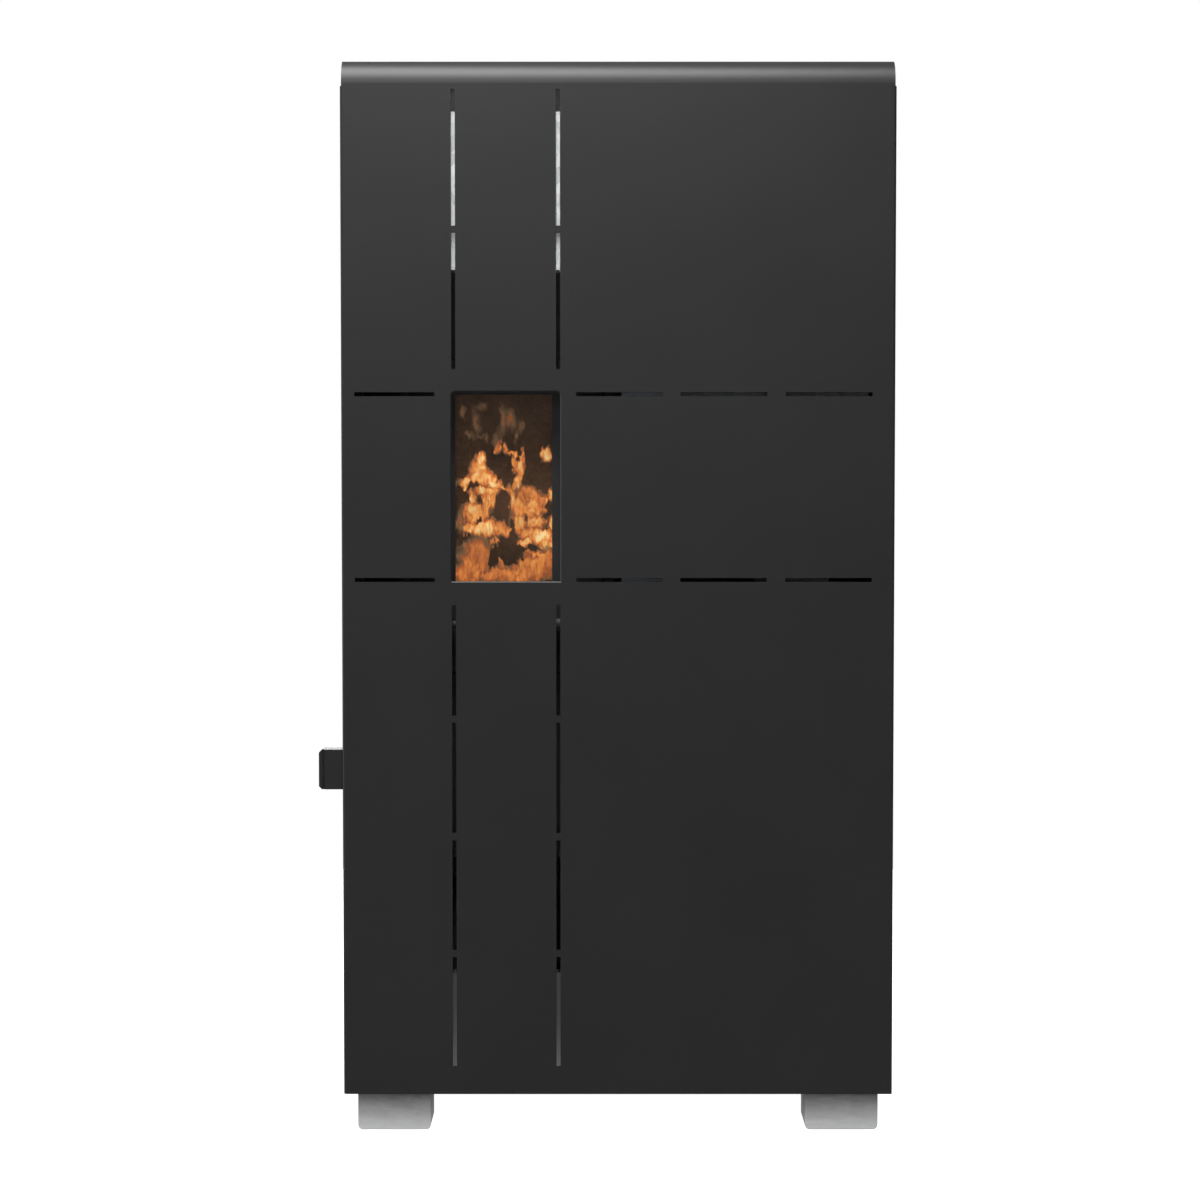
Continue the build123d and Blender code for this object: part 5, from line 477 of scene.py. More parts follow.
@dataclass(frozen=True)
class FlameGlow:
    """Burning gas, and the painted firelight on the lining behind it: licks that run into each other, torn at their
    edges and streaked upwards.
    """

    name: str
    licks: tuple[Lick, ...]
    seed: float
    power: float = 1.0
    tear: float = 6.5
    streak: float = 0.95
    blend: float = 0.03

    def nearness(self, s: Sketch, place: bpy.types.NodeSocket, lick: Lick) -> bpy.types.NodeSocket:
        """How near a point is to a lick's middle, times its heat."""
        node = s.add("ShaderNodeMapping", vector_type="TEXTURE")
        s.feed(node, Vector=place, Location=(lick.x * MM, 0.0, lick.z * MM),
               Rotation=(0.0, math.radians(lick.lean), 0.0),
               Scale=(lick.half_width * MM, FLAT, lick.half_height * MM))
        away = s.add("ShaderNodeVectorMath", operation="LENGTH")
        s.tree.links.new(node.outputs["Vector"], away.inputs[0])
        if lick.heat < 0.0:
            return s.span(away.outputs["Value"], 0.5, GAP_EDGE, -lick.heat, 0.0)
        if lick.heat < SMOKE_HEAT:
            return s.span(away.outputs["Value"], 0.2, SMOKE_EDGE, lick.heat * 1.25, 0.0)
        return s.span(away.outputs["Value"], 0.55, LICK_EDGE, lick.heat, 0.0)

    def strongest(self, s: Sketch, place: bpy.types.NodeSocket, licks: list[Lick]) -> bpy.types.NodeSocket:
        """The strongest of several licks at each point, rounded where two meet."""
        best = self.nearness(s, place, licks[0])
        for lick in licks[1:]:
            blend = s.add("ShaderNodeMath", operation="SMOOTH_MAX")
            s.tree.links.new(best, blend.inputs[0])
            s.tree.links.new(self.nearness(s, place, lick), blend.inputs[1])
            blend.inputs[2].default_value = self.blend
            best = blend.outputs[0]
        return best

    def torn(self, s: Sketch) -> bpy.types.NodeSocket:
        """Object coordinates that noise pulls about, more at a fine scale than at a coarse one."""
        move = (self.seed, self.seed * 0.37, self.seed * 0.61)
        place = s.place
        for scale, share in TEARS:
            pull = s.add("ShaderNodeTexNoise")
            s.feed(pull, Vector=s.stretched((1.0, 1.0, 0.6), move), Scale=scale, Detail=3.0)
            middle = s.add("ShaderNodeVectorMath", operation="SUBTRACT")
            s.tree.links.new(pull.outputs["Color"], middle.inputs[0])
            middle.inputs[1].default_value = (0.5, 0.5, 0.5)
            reach = s.add("ShaderNodeVectorMath", operation="MULTIPLY_ADD")
            s.tree.links.new(middle.outputs[0], reach.inputs[0])
            reach.inputs[1].default_value = (self.tear * share * 2.0 * MM, 0.0, self.tear * share * 2.6 * MM)
            s.tree.links.new(place, reach.inputs[2])
            place = reach.outputs[0]
        return place

    def make(self) -> bpy.types.Material:
        """Builds the material."""
        s = Sketch(self.name)
        place = self.torn(s)
        heat = self.strongest(s, place, [lick for lick in self.licks if lick.heat > 0.0])
        gaps = [lick for lick in self.licks if lick.heat < 0.0]
        if gaps:
            heat = s.sum("SUBTRACT", heat, self.strongest(s, place, gaps))
        streaks = s.noise(190.0, 4.0, 0.62, s.stretched((1.0, 1.0, 0.4), (0.0, 0.0, self.seed)), 0.8)
        heat = s.sum("MULTIPLY", heat, s.span(streaks, 0.25, 0.75, 1.0 - self.streak / 2, 1.0 + self.streak / 2))
        colour = s.ramp(heat, *FLAME_COLOURS)
        alpha = s.span(heat, 0.06, 0.32, 0.0, 0.97)
        s.feed(s.shader, Base_Color=(0.02, 0.01, 0.005), Roughness=1.0, Alpha=alpha, Emission_Color=colour)
        s.shader.inputs["Emission Strength"].default_value = self.power
        s.shader.inputs["Specular IOR Level"].default_value = 0.0
        return s.material


@dataclass(frozen=True)
class EmberGlow:
    """Burning pellets: orange hearts under a grey and black crust."""

    name: str
    power: float = 1.0

    def make(self) -> bpy.types.Material:
        """Builds the material."""
        s = Sketch(self.name)
        fire = s.noise(55.0, 4.0, 0.6)
        crust = s.noise(420.0, 3.0, 0.6)
        heat = s.sum("ADD", s.sum("MULTIPLY", fire, 0.8), s.sum("MULTIPLY", crust, 0.25))
        glow = s.ramp(heat, (0.40, (0.02, 0.004, 0.002)), (0.5, (0.35, 0.07, 0.012)), (0.6, (0.62, 0.2, 0.04)),
                      (0.75, (0.85, 0.4, 0.12)))
        base = s.ramp(crust, (0.35, (0.012, 0.01, 0.009)), (0.7, (0.09, 0.08, 0.075)))
        s.feed(s.shader, Base_Color=base, Roughness=s.span(crust, 0.3, 0.7, 0.75, 0.95), Emission_Color=glow,
               Normal=s.bump(crust, 0.3 * MM, 0.7))
        s.shader.inputs["Emission Strength"].default_value = self.power
        return s.material


# licks of the light on the back wall, then licks and gaps of the three sheets of flame, from the back to the front
WALL_LICKS = (
    Lick(-150.4, 711.0, 4.2, 5.8, 0, 0.23), Lick(-130.4, 715.2, 8.4, 6.3, 0, 0.16),
    Lick(-135.7, 698.4, 5.8, 13.7, 0, 0.18), Lick(-144.1, 689.0, 7.4, 3.2, 22, 0.21),
    Lick(-130.4, 683.7, 8.4, 2.7, 24, 0.19), Lick(-124.1, 680.6, 3.2, 6.3, 0, 0.16),
    Lick(-109.3, 700.5, 4.7, 20.0, 0, 0.21), Lick(-99.8, 703.7, 6.9, 13.7, 0, 0.23),
    Lick(-89.3, 697.4, 5.3, 10.5, 0, 0.17), Lick(-93.5, 684.8, 3.2, 9.5, 0, 0.17),
    Lick(-114.6, 681.6, 3.7, 9.5, 0, 0.2),
)
BACK_LICKS = (
    Lick(-110.5, 675.4, 1.7, 7.2, -3, 0.5), Lick(-104.3, 674.4, 2.3, 5.7, 0, 0.52),
    Lick(-112.6, 670.2, 1.9, 2.7, 0, 0.66), Lick(-99.1, 670.7, 8.8, 2.0, 10, 0.5),
    Lick(-92.4, 667.1, 3.1, 3.3, 30, 0.62), Lick(-92.9, 657.8, 2.1, 12.4, -6, 0.58),
    Lick(-86.2, 660.9, 2.0, 12.4, 5, 0.58), Lick(-87.8, 652.7, 3.7, 8.3, 0, 0.68),
    Lick(-90.3, 640.3, 3.5, 12.4, 3, 0.64), Lick(-94.5, 631.0, 3.7, 8.3, 12, 0.6),
    Lick(-59.8, 667.1, 5.8, 7.8, 0, 0.82), Lick(-64.5, 667.1, 4.1, 3.5, 0, 0.74),
    Lick(-89.8, 662.0, 1.1, 5.2, 0, -0.3), Lick(-90.3, 647.5, 0.9, 7.2, 0, -0.14),
)
MIDDLE_LICKS = (
    Lick(-128.9, 662.2, 4.5, 6.1, 0, 0.74), Lick(-130.0, 652.9, 8.0, 8.2, 0, 0.72),
    Lick(-126.9, 643.7, 12.8, 7.2, 0, 0.76), Lick(-114.6, 638.1, 9.7, 4.1, 30, 0.82),
    Lick(-106.4, 632.0, 8.2, 1.8, 12, 0.7), Lick(-142.3, 639.6, 6.7, 4.1, -15, 0.74),
    Lick(-143.3, 633.5, 3.1, 4.6, 0, 0.7), Lick(-120.7, 630.4, 11.3, 5.1, 0, 0.76),
    Lick(-135.1, 623.3, 4.1, 7.7, -12, 0.72), Lick(-138.2, 605.9, 9.2, 13.3, 0, 0.72),
    Lick(-128.9, 608.9, 9.2, 10.2, 0, 0.72), Lick(-121.8, 616.1, 6.1, 14.3, 4, 0.72),
    Lick(-115.1, 622.2, 2.7, 11.3, 2, 0.66), Lick(-122.8, 591.5, 12.3, 9.7, 0, 0.84),
    Lick(-139.2, 589.5, 9.2, 5.1, 0, 0.72), Lick(-106.4, 591.5, 9.2, 6.7, 0, 0.7),
    Lick(-95.6, 592.5, 4.1, 2.5, 25, 0.76), Lick(-111.5, 580.2, 2.7, 4.1, 0, 0.68),
    Lick(-117.7, 576.1, 3.7, 2.7, -30, 0.58), Lick(-96.2, 621.2, 3.1, 13.3, -8, 0.68),
    Lick(-88.0, 614.1, 8.7, 10.2, 0, 0.62), Lick(-76.7, 612.0, 14.3, 7.7, 0, 0.7),
    Lick(-69.5, 621.2, 8.2, 10.2, -20, 0.55), Lick(-81.8, 626.3, 10.2, 7.7, 0, 0.52),
    Lick(-89.0, 598.7, 8.7, 9.2, 0, 0.68), Lick(-73.6, 598.7, 9.2, 7.2, 0, 0.7),
    Lick(-80.8, 587.4, 9.2, 6.1, 0, 0.74), Lick(-67.5, 582.3, 12.3, 8.7, 0, 0.9),
    Lick(-83.9, 577.7, 9.2, 3.9, -8, 0.86), Lick(-61.3, 573.1, 7.2, 6.1, 0, 0.8),
    Lick(-57.7, 596.6, 3.7, 8.2, 0, 0.78), Lick(-57.7, 627.4, 3.5, 7.2, 0, 0.78),
    Lick(-62.4, 621.2, 3.7, 2.0, -35, 0.66), Lick(-134.1, 634.5, 4.7, 3.9, -15, -0.85),
    Lick(-146.9, 623.3, 8.6, 6.4, 0, -0.95), Lick(-129.5, 618.2, 3.1, 4.7, 0, -0.62),
    Lick(-120.7, 617.1, 1.3, 4.7, 0, -0.32), Lick(-129.5, 598.7, 2.2, 7.8, 28, -0.7),
    Lick(-105.4, 615.1, 4.5, 15.9, 4, -1.0), Lick(-96.7, 588.4, 3.1, 9.2, 20, -0.85),
    Lick(-95.1, 598.7, 3.1, 5.1, 0, -0.75), Lick(-97.2, 577.2, 6.1, 7.2, 0, -0.85),
    Lick(-81.3, 602.8, 3.7, 2.7, -10, -0.36), Lick(-60.8, 612.0, 3.7, 8.7, 15, -0.85),
    Lick(-66.4, 601.8, 2.7, 4.7, 35, -0.5), Lick(-61.8, 590.5, 3.1, 1.8, 15, -0.45),
    Lick(-104.4, 652.9, 10.8, 13.8, 0, -0.9), Lick(-71.6, 646.8, 13.3, 13.3, 0, -0.6),
)
FRONT_LICKS = (
    Lick(-131.8, 559.9, 17.2, 21.3, 0, 0.47), Lick(-137.8, 546.7, 20.3, 11.2, 0, 0.47),
    Lick(-149.0, 562.0, 4.7, 20.3, 0, 0.2), Lick(-141.9, 576.2, 6.1, 5.1, 0, 0.3),
    Lick(-149.0, 600.5, 4.7, 16.2, 0, 0.23), Lick(-149.5, 639.0, 4.1, 5.6, 0, 0.2),
    Lick(-76.0, 553.8, 24.3, 13.2, 0, 0.53), Lick(-61.8, 559.9, 9.1, 12.2, 0, 0.52),
    Lick(-99.3, 544.7, 46.7, 7.6, 0, 0.52), Lick(-107.4, 558.9, 3.0, 8.1, -10, 0.52),
    Lick(-68.9, 568.1, 13.2, 3.0, 0, 0.55), Lick(-103.4, 570.1, 12.2, 9.1, 0, -0.75),
    Lick(-114.5, 559.9, 5.1, 7.6, -10, -0.65), Lick(-96.8, 561.0, 8.1, 7.1, 0, -0.75),
    Lick(-121.6, 546.7, 0.9, 9.1, 0, -0.24), Lick(-90.2, 569.1, 4.1, 6.1, 0, -0.55),
    Lick(-138.9, 569.1, 1.6, 6.1, 25, -0.14), Lick(-86.1, 564.0, 4.1, 3.0, -30, -0.35),
)


class Slot(Enum):
    """The record's material slots, with the finish that each takes."""

    ANTHRACITE = ("anthracite_steel", PowderCoat("finish_anthracite_coat", (0.0078, 0.0078, 0.008), 0.45))
    BLACK_STEEL = ("black_steel", PowderCoat("finish_black_coat", (0.045, 0.045, 0.046), 0.6, 1.6, 0.3, 0.06))
    CAST = ("cast_black", Casting("finish_cast_door", (0.009, 0.009, 0.0095), (0.05, 0.047, 0.044), 0.2, 0.7))
    # the feet take painted shade at the top and painted floor light at the bottom
    FEET = ("feet_metal", FootPaintedShade("finish_feet", (0.06, 0.06, 0.061), (0.43, 0.43, 0.434)))
    PRIMER = ("light_grey_steel", PowderCoat("finish_grey_primer", (0.24, 0.24, 0.245), 0.5))
    GALVANISED = ("galvanised", Galvanised("finish_galvanised", (0.84, 0.87, 0.90)))
    ZINC = ("zinc_steel", Metal("finish_zinc", (0.46, 0.49, 0.54), 0.36, (1.0, 1.0, 1.0), 700.0, 0.25, 0.6))
    STAINLESS = ("stainless", Metal("finish_stainless", (0.55, 0.545, 0.53), 0.28, (0.06, 1.0, 1.0), 1400.0, 0.15))
    GLASS = ("hot_glass", HotGlass("finish_hot_glass", (0.11, 0.07, 0.045)))
    ROPE = ("rope", KnittedRope("finish_rope", (0.20, 0.195, 0.18)))
    LINING = ("lining", Mineral("finish_lining", (0.20, 0.14, 0.105)))
    BURNER = ("burner", Casting("finish_burner", (0.05, 0.045, 0.042), (0.3, 0.28, 0.26), 0.5, 0.7))
    MOTOR = ("motor_metal", Metal("finish_motor", (0.46, 0.46, 0.47), 0.45, (1.0, 1.0, 1.0), 300.0, 0.2, 0.8))
    RUBBER = ("rubber", Moulded("finish_rubber", (0.022, 0.022, 0.022), 0.68, 0.8))
    SILICONE = ("silicone", Moulded("finish_silicone", (0.5, 0.12, 0.06), 0.38, 1.5, 0.01))
    BLACK_PLASTIC = ("black_plastic", Moulded("finish_black_plastic", (0.018, 0.018, 0.018), 0.45, 0.45))
    BUTTON = ("button_plastic", Moulded("finish_button", (0.22, 0.225, 0.23), 0.42, 0.4, 0.02))
    DISPLAY = ("display", Moulded("finish_display", (0.004, 0.005, 0.006), 0.08, 3.0, 0.001))
    CIRCUIT = ("circuit", CircuitBoard("finish_circuit", (0.012, 0.10, 0.035)))
    RED_PLASTIC = ("red_plastic", Moulded("finish_red_plastic", (0.5, 0.02, 0.012), 0.28, 0.8, 0.01))
    MAGNET = ("magnet", Metal("finish_magnet", (0.35, 0.35, 0.36), 0.35, (1.0, 1.0, 1.0), 500.0, 0.3))

    def __init__(self, slot: str, finish: object) -> None:
        """Keeps the slot's name and its finish."""
        self.slot = slot
        self.finish = finish


# ------------------------------------------------------------------ modelling by hand
def clear_selection() -> None:
    """Deselects everything, in object mode."""
    if bpy.context.object is not None and bpy.context.object.mode != "OBJECT":
        bpy.ops.object.mode_set(mode="OBJECT")
    bpy.ops.object.select_all(action="DESELECT")


def take(piece: bpy.types.Object) -> bpy.types.Object:
    """Selects one object alone and makes it active."""
    clear_selection()
    piece.select_set(True)
    bpy.context.view_layer.objects.active = piece
    return piece


def named(name: str) -> bpy.types.Object:
    """The active object, renamed with its mesh."""
    piece = bpy.context.object
    piece.name = name
    piece.data.name = name
    return piece


def settle(piece: bpy.types.Object) -> bpy.types.Object:
    """Applies the object's place to its mesh."""
    take(piece)
    bpy.ops.object.transform_apply(location=True, rotation=True, scale=True)
    return piece


def join(pieces: list[bpy.types.Object], name: str) -> bpy.types.Object:
    """Joins pieces into the first one."""
    clear_selection()
    for piece in pieces:
        piece.select_set(True)
    bpy.context.view_layer.objects.active = pieces[0]
    if len(pieces) > 1:
        bpy.ops.object.join()
    return named(name)


def smooth(piece: bpy.types.Object, degrees: float = 35.0) -> bpy.types.Object:
    """Smooth shading, broken at edges sharper than an angle."""
    take(piece)
    bpy.ops.object.shade_smooth_by_angle(angle=math.radians(degrees))
    return piece


def trim(sheet: bpy.types.Object, licks: tuple[Lick, ...], middle: float, stem_half: float, stem_top: float) -> None:
    """Cuts a sheet back to its licks of flame and the stem that stands on the heap.

    Args:
        sheet: The sheet, upright and facing the front.
        licks: The licks that are kept.
        middle: Where the stem's middle is, across the stove.
        stem_half: Half of the stem's width.
        stem_top: The stem's height over the floor.
    """
    take(sheet)
    for face in sheet.data.polygons:
        x, z = face.center.x, face.center.z
        stem = z < stem_top and abs(x - middle) < stem_half
        face.select = not stem and not any(lick.holds(x, z) for lick in licks)
    bpy.context.tool_settings.mesh_select_mode = (False, False, True)
    bpy.ops.object.mode_set(mode="EDIT")
    bpy.ops.mesh.delete(type="FACE")
    bpy.ops.mesh.select_all(action="SELECT")
    bpy.ops.mesh.delete_loose(use_verts=True, use_edges=True, use_faces=False)
    bpy.ops.object.mode_set(mode="OBJECT")
    bpy.context.tool_settings.mesh_select_mode = (True, False, False)


def finish_with(piece: bpy.types.Object, material: bpy.types.Material, body: str) -> bpy.types.Object:
    """Gives a new piece its material and slot, and lets it ride on a body."""
    piece.data.materials.clear()
    piece.data.materials.append(material)
    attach(piece, body)
    return piece


# ------------------------------------------------------------------ the fire
@dataclass(frozen=True)
class FlameSheet:
    """One sheet of flame: how far behind the pot's middle it stands, its licks, its noise seed and its power."""

    depth: float
    licks: tuple[Lick, ...]
    seed: float
    power: float


FLAME_SHEETS = (
    FlameSheet(32.0 * MM, BACK_LICKS, 3.1, 1.12),
    FlameSheet(0.0, MIDDLE_LICKS, 3.1 + 1.7, 1.34),
    FlameSheet(-32.0 * MM, FRONT_LICKS, 3.1 + 2 * 1.7, 1.36),
)


@dataclass
class Fire:
    """The fire in the burn pot: a heap of burning pellets, the flames over it, and their light on the wall behind."""

    lining: bpy.types.Object
    pot: str = "burn_pot"
    pellet_radius: float = 3.0 * MM
    pellet_length: float = 15.0 * MM
    pellet_sides: int = 8
    pellet_chip: float = 0.6 * MM
    heap_height: float = 30.0 * MM
    heap_count: int = 150
    heap_margin: float = 10.0 * MM
    heap_sink: float = 4.0 * MM
    heap_depth: float = 16.0 * MM
    flame_width: float = 126.0 * MM
    flame_height: float = 168.0 * MM
    flame_foot: float = 8.0 * MM
    flame_shift: float = -7.0 * MM
    flame_bow: float = 34.0
    flame_ripple: float = 4.0
    ripple_rise: float = 6.0
    ripple_across: float = 3.0
    ripple_step: float = 1.9
    flame_columns: int = 60
    flame_rows: int = 80
    flame_skin: float = 0.6 * MM
    stem_half: float = 26.0 * MM
    stem_top: float = 575.0 * MM
    film_width: float = 104.0 * MM
    film_height: float = 76.0 * MM
    film_level: float = 696.0 * MM
    film_shift: float = -14.0 * MM
    film_gap: float = 0.42 * MM
    film_skin: float = 0.4 * MM
    film_seed: float = 1.4
    film_columns: int = 52
    film_rows: int = 38
    seed: int = 7

    def build(self) -> list[bpy.types.Object]:
        """Makes the heap, the flames and their light on the wall.

        Returns:
            The new pieces.
        """
        low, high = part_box(self.pot)
        middle = (low + high) / 2
        return [self.heap(middle, high), *self.flames(middle, high), self.wall_glow(middle)]

    def pellet(self) -> bpy.types.Object:
        """One pressed pellet with broken ends."""
        clear_selection()
        bpy.ops.mesh.primitive_cylinder_add(vertices=self.pellet_sides, radius=self.pellet_radius,
                                            depth=self.pellet_length)
        piece = named("pellet")
        bpy.ops.object.mode_set(mode="EDIT")
        bpy.ops.mesh.select_all(action="SELECT")
        bpy.ops.mesh.bevel(offset=self.pellet_chip, segments=1, affect="EDGES")
        bpy.ops.object.mode_set(mode="OBJECT")
        return piece

    def heap(self, middle: Vector, high: Vector) -> bpy.types.Object:
        """A mound of pellets that lie every way, filled up from inside the pot.

        Args:
            middle: The middle of the pot.
            high: The pot's highest corner.

        Returns:
            The heap.
        """
        dice = random.Random(self.seed)
        first = self.pellet()
        reach_x = high.x - middle.x - self.heap_margin
        reach_y = high.y - middle.y - self.heap_margin
        pellets = []
        for index in range(self.heap_count):
            piece = first if index == 0 else first.copy()
            if index:
                piece.data = first.data.copy()
                bpy.context.scene.collection.objects.link(piece)
            radius = math.sqrt(dice.random())
            around = dice.uniform(0, math.tau)
            x = radius * math.cos(around) * reach_x
            y = radius * math.sin(around) * reach_y
            top = high.z + self.heap_height * (1.0 - radius) ** 0.8 - self.heap_sink
            depth = dice.random() ** 2 * self.heap_depth
            piece.location = (middle.x + x, middle.y + y, top - depth)
            piece.rotation_euler = (math.radians(90) + dice.uniform(-0.7, 0.7), dice.uniform(-0.5, 0.5),
                                    dice.uniform(0, math.tau))
            pellets.append(piece)
        for piece in pellets:
            settle(piece)
        heap = join(pellets, "burning_pellets")
        smooth(heap)
        return finish_with(heap, EmberGlow("finish_embers", 1.0).make(), self.pot)

    def flames(self, middle: Vector, high: Vector) -> list[bpy.types.Object]:
        """Curved sheets of flame, one behind another, that stand on the heap.

        Args:
            middle: The middle of the pot.
            high: The pot's highest corner.

        Returns:
            The sheets.
        """
        made = []
        foot = high.z - self.flame_foot
        for index, plan in enumerate(FLAME_SHEETS):
            clear_selection()
            bpy.ops.mesh.primitive_grid_add(x_subdivisions=self.flame_columns, y_subdivisions=self.flame_rows,
                                            size=1.0, rotation=(math.radians(90), 0.0, 0.0))
            sheet = named(f"flame_{index + 1}")
            sheet.scale = (self.flame_width, self.flame_height, 1.0)
            sheet.location = (middle.x + self.flame_shift, middle.y + plan.depth, foot + self.flame_height / 2)
            settle(sheet)
            for vertex in sheet.data.vertices:
                rise = (vertex.co.z - foot) / self.flame_height
                across = (vertex.co.x - middle.x) / self.flame_width
                ripple = math.sin(rise * self.ripple_rise + across * self.ripple_across + index * self.ripple_step)
                ripple *= self.flame_ripple
                vertex.co.y += across * across * self.flame_bow * MM + ripple * MM
            trim(sheet, plan.licks, middle.x, self.stem_half, self.stem_top)
            take(sheet)
            skin = sheet.modifiers.new("skin", "SOLIDIFY")
            skin.thickness = self.flame_skin
            bpy.ops.object.modifier_apply(modifier=skin.name)
            smooth(sheet, 80.0)
            glow = FlameGlow(f"finish_flame_{index + 1}", plan.licks, plan.seed, plan.power)
            made.append(finish_with(sheet, glow.make(), self.pot))
        return made

    def wall_glow(self, middle: Vector) -> bpy.types.Object:
        """Smoky firelight on the lining behind the flames: a film that lies on its face.

        Args:
            middle: The middle of the pot.

        Returns:
            The film.
        """
        start = Vector((middle.x, middle.y, self.film_level))
        _, spot, _, _ = self.lining.ray_cast(start, Vector((0.0, 1.0, 0.0)))
        clear_selection()
        bpy.ops.mesh.primitive_grid_add(x_subdivisions=self.film_columns, y_subdivisions=self.film_rows,
                                        size=1.0, rotation=(math.radians(90), 0.0, 0.0))
        film = named("wall_glow")
        film.scale = (self.film_width, self.film_height, 1.0)
        film.location = (middle.x + self.film_shift, spot.y - self.film_gap, self.film_level)
        settle(film)
        trim(film, WALL_LICKS, middle.x, 0.0, 0.0)
        take(film)
        skin = film.modifiers.new("skin", "SOLIDIFY")
        skin.thickness = self.film_skin
        bpy.ops.object.modifier_apply(modifier=skin.name)
        # painted firelight: a glowing film on the lining stands in for the light the flames throw on it
        glow = FlameGlow("finish_wall_glow", WALL_LICKS, self.film_seed)
        return finish_with(film, glow.make(), "casing")


# ------------------------------------------------------------------ the seal of the fire door
@dataclass
class RopeSeal:
    """Knitted rope around the fire door's opening, laid from three strands."""

    node: str = "door_seal"
    strands: int = 3
    pitch: float = 22.0 * MM
    step: float = 1.4 * MM
    corner: float = 9.0 * MM
    corner_parts: int = 8
    strand_reach: float = 0.46
    strand_radius: float = 0.53

    def centre_line(self, low: Vector, high: Vector, inset: float) -> list[Vector]:
        """Points along the rounded rectangle that the rope follows.

        Args:
            low: The seal's lowest corner.
            high: The seal's highest corner.
            inset: From the seal's outside to the rope's middle.

        Returns:
            Evenly spaced points, once round.
        """
        y = (low.y + high.y) / 2
        corners = []
        turn = self.corner
        left, right = low.x + inset + turn, high.x - inset - turn
        bottom, top = low.z + inset + turn, high.z - inset - turn
        for cx, cz, start in ((right, top, 0), (left, top, 90), (left, bottom, 180), (right, bottom, 270)):
            for part in range(self.corner_parts + 1):
                angle = math.radians(start + part * 90 / self.corner_parts)
                corners.append(Vector((cx + turn * math.cos(angle), y, cz + turn * math.sin(angle))))
        points = []
        for first, second in zip(corners, corners[1:] + corners[:1]):
            count = max(1, round((second - first).length / self.step))
            points += [first.lerp(second, part / count) for part in range(count)]
        return points

    def build(self) -> bpy.types.Object:
        """Makes the rope in place of the plain seal.

        Returns:
            The rope.
        """
        low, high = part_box(self.node)
        radius = (high.y - low.y) / 2
        line = self.centre_line(low, high, radius)
        middle = (low + high) / 2
        turns = round(sum((b - a).length for a, b in zip(line, line[1:])) / self.pitch)
        pieces = []
        for strand in range(self.strands):
            curve = bpy.data.curves.new(f"strand_{strand}", "CURVE")
            curve.dimensions = "3D"
            spline = curve.splines.new("POLY")
            spline.points.add(len(line) - 1)
            for index, point in enumerate(line):
                phase = math.tau * (turns * index / len(line) + strand / self.strands)
                before, after = line[index - 1], line[(index + 1) % len(line)]
                along = (after - before).normalized()
                out = along.cross(Vector((0.0, 1.0, 0.0)))
                lay = out * math.cos(phase) + Vector((0.0, 1.0, 0.0)) * math.sin(phase)
                place = point + lay * radius * self.strand_reach
                spline.points[index].co = (*place, 1.0)
            spline.use_cyclic_u = True
            curve.bevel_depth = radius * self.strand_radius
            curve.bevel_resolution = 2
            piece = bpy.data.objects.new(f"strand_{strand}", curve)
            bpy.context.scene.collection.objects.link(piece)
            take(piece)
            bpy.ops.object.convert(target="MESH")
            pieces.append(bpy.context.object)
        rope = join(pieces, "door_seal_rope")
        smooth(rope, 60.0)
        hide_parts(self.node)
        LOG.info("rope around %s", tuple(round(v, 3) for v in middle))
        return finish_with(rope, Slot.ROPE.finish.make(), "fire_door")


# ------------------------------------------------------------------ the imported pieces
@dataclass
class PackedPieces:
    """The stove's own solids, each with the finish of its slot."""

    record: dict
    nodes: dict
    hopper_finish: Galvanised = Galvanised("finish_hopper_zinc", (0.62, 0.64, 0.67))

    def dress(self) -> int:
        """Gives every node its finish.

        Returns:
            How many nodes were dressed.
        """
        finishes = {entry.slot: entry.finish.make() for entry in Slot}
        hopper_zinc = self.hopper_finish.make()
        for row in self.record["subparts"]:
            node = self.nodes[row["node"]]
            node.data.materials.clear()
            finish = hopper_zinc if row["node"] == "hopper" else finishes[row["material_slot"]]
            node.data.materials.append(finish)
        return len(self.record["subparts"])


# ------------------------------------------------------------------ the studio
@dataclass(frozen=True)
class Lamp:
    """One soft lamp: where it stands, what it looks at, its size in metres, its power, and whether it mirrors."""

    name: str
    place: Point
    target: Point
    width: float
    height: float
    power: float
    mirrored: bool = True

    def light(self) -> None:
        """Sets the lamp up."""
        data = bpy.data.lights.new(self.name, "AREA")
        data.shape = "RECTANGLE"
        data.size = self.width
        data.size_y = self.height
        data.energy = self.power
        lamp = bpy.data.objects.new(self.name, data)
        lamp.location = self.place
        lamp.rotation_euler = (Vector(self.target) - Vector(self.place)).to_track_quat("-Z", "Y").to_euler()
        lamp.visible_camera = False
        lamp.visible_glossy = self.mirrored
        bpy.context.scene.collection.objects.link(lamp)


# a key in front at the upper left, one overhead, one by the camera for what lies behind the slots, one for the left
# edge, and two weak rim lamps behind
LAMPS = (
    Lamp("key", (-0.55, -3.2, 2.1), (0.0, -0.2, 0.7), 0.7, 0.7, 16.0),
    Lamp("roll_light", (-0.25, -0.66, 1.90), (-0.05, -0.2, 1.04), 1.2, 0.78, 42.0),
    Lamp("slot_light", (-0.006, -3.2, 0.70), (-0.006, -0.2, 0.70), 0.24, 0.12, 4.6, False),
    Lamp("edge_light", (-2.6, -0.62, 0.55), (-0.06, -0.2, 0.62), 0.35, 1.1, 16.0),
    Lamp("rim", (1.5, 2.9, 2.0), (0.0, 0.0, 0.6), 1.2, 1.2, 40.0),
    Lamp("rim_low", (-0.9, 2.9, 1.4), (0.0, 0.0, 0.5), 1.2, 1.2, 30.0),
)


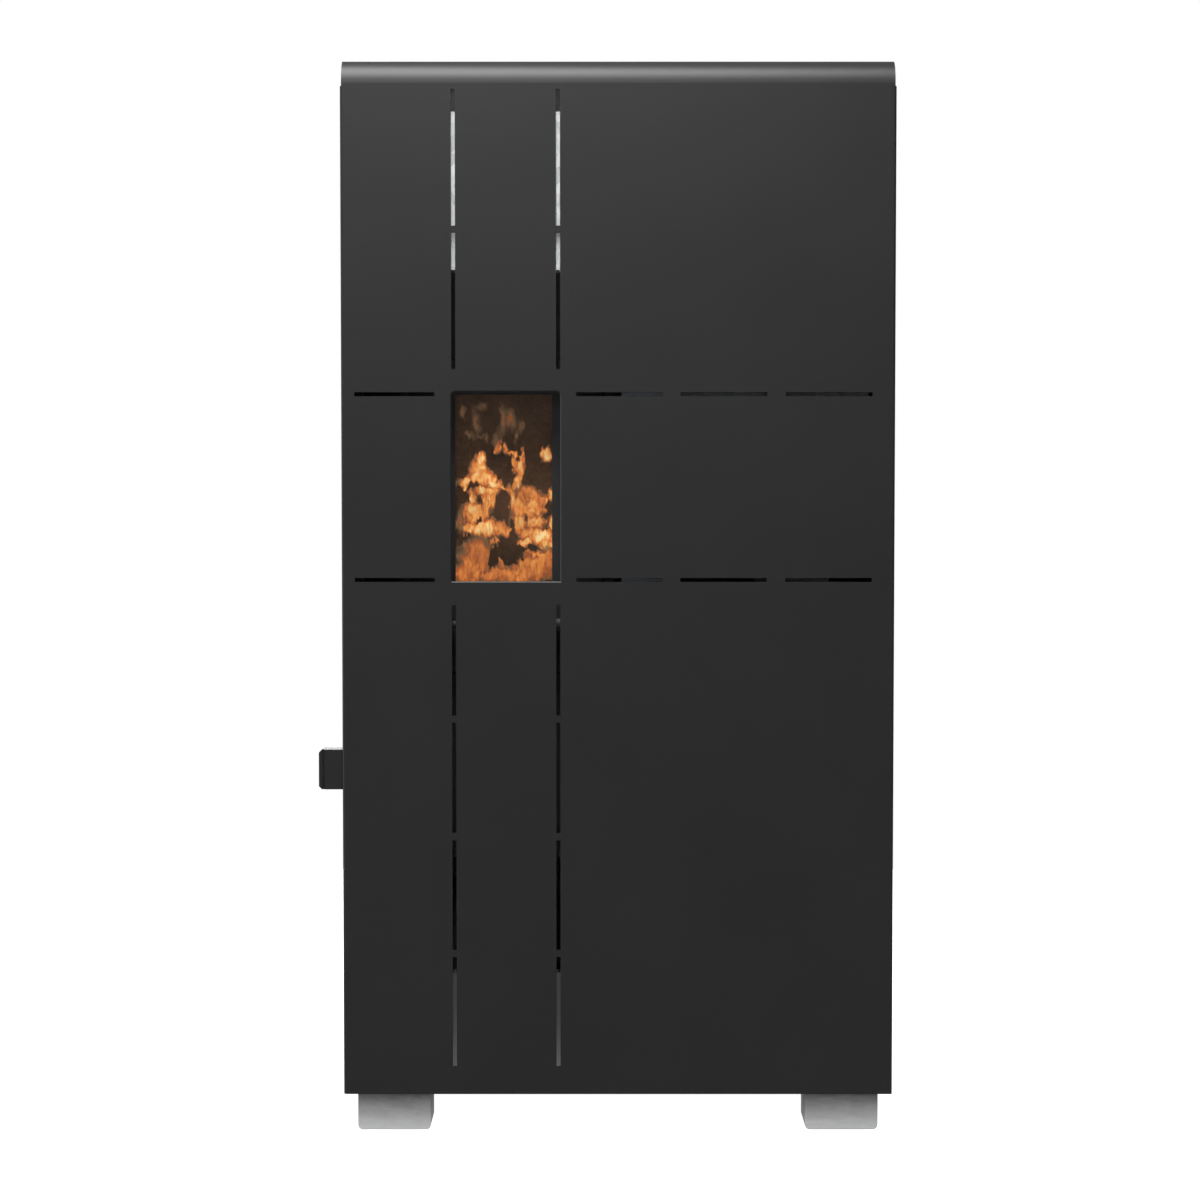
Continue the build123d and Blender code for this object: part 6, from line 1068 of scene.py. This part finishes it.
@dataclass
class Studio:
    """A pale, faintly luminous floor, soft lamps, and the camera of the photograph's angle."""

    eye: Point = (-0.006, -3.2225, 0.680)
    pitch: float = -2.95
    lens: float = 92.25
    floor_size: float = 3.4
    floor_rim: float = 0.05
    floor_glow: float = 0.96
    sky_low: float = 0.235
    sky_high: float = 0.34

    def build(self) -> None:
        """Makes floor, lamps, sky and camera."""
        self.floor()
        for lamp in LAMPS:
            lamp.light()
        self.sky()
        self.camera()

    def floor(self) -> None:
        """One round, pale table top under the stove."""
        clear_selection()
        bpy.ops.mesh.primitive_circle_add(vertices=96, radius=self.floor_size / 2, fill_type="NGON")
        sheet = named("studio_floor")
        bpy.ops.object.mode_set(mode="EDIT")
        bpy.ops.mesh.select_all(action="SELECT")
        bpy.ops.mesh.inset(thickness=self.floor_rim)
        bpy.ops.object.mode_set(mode="OBJECT")
        s = Sketch("studio_white")
        grain = s.noise(3.0, 2.0)
        s.feed(s.shader, Base_Color=s.mix(grain, (0.80, 0.80, 0.80), (0.82, 0.82, 0.82)), Roughness=0.9)
        s.shader.inputs["Emission Color"].default_value = (1.0, 1.0, 1.0, 1.0)
        s.shader.inputs["Emission Strength"].default_value = self.floor_glow
        sheet.data.materials.append(s.material)
        sheet.visible_glossy = False

    def sky(self) -> None:
        """A white backdrop for the camera, and for everything else a soft sky that is brightest overhead."""
        world = bpy.data.worlds.new("studio_sky")
        world.use_nodes = True
        tree = world.node_tree
        shade = tree.nodes["Background"]
        spot = tree.nodes.new("ShaderNodeTexCoord")
        split = tree.nodes.new("ShaderNodeSeparateXYZ")
        rise = tree.nodes.new("ShaderNodeMapRange")
        seen = tree.nodes.new("ShaderNodeLightPath")
        choice = tree.nodes.new("ShaderNodeMix")
        tree.links.new(spot.outputs["Generated"], split.inputs[0])
        tree.links.new(split.outputs["Z"], rise.inputs["Value"])
        limits = (("From Min", -0.05), ("From Max", 0.9), ("To Min", self.sky_low), ("To Max", self.sky_high))
        for key, number in limits:
            rise.inputs[key].default_value = number
        tree.links.new(seen.outputs["Is Camera Ray"], choice.inputs[0])
        tree.links.new(rise.outputs["Result"], choice.inputs[2])
        choice.inputs[3].default_value = 1.0
        tree.links.new(choice.outputs[0], shade.inputs["Strength"])
        shade.inputs["Color"].default_value = (1.0, 1.0, 1.0, 1.0)
        bpy.context.scene.world = world

    def camera(self) -> None:
        """The camera, level across and tipped down a little."""
        data = bpy.data.cameras.new("camera")
        data.lens = self.lens
        data.sensor_width = 36.0
        data.clip_end = 60.0
        camera = bpy.data.objects.new("camera", data)
        camera.location = self.eye
        camera.rotation_euler = (math.radians(90.0 + self.pitch), 0.0, 0.0)
        bpy.context.scene.collection.objects.link(camera)
        bpy.context.scene.camera = camera


def main() -> None:
    """Builds the dressed stove in order."""
    logging.basicConfig(level=logging.INFO, format="%(message)s")
    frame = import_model()
    studio = Studio()
    studio.build()
    LOG.info("studio ready")
    count = PackedPieces(frame["record"], frame["nodes"]).dress()
    LOG.info("%d packed pieces dressed", count)
    rope = RopeSeal().build()
    LOG.info("made %s", rope.name)
    for piece in Fire(frame["nodes"]["firebox_lining"]).build():
        LOG.info("made %s", piece.name)
    bpy.context.scene.view_settings.view_transform = "Standard"


if __name__ == "__main__":
    main()
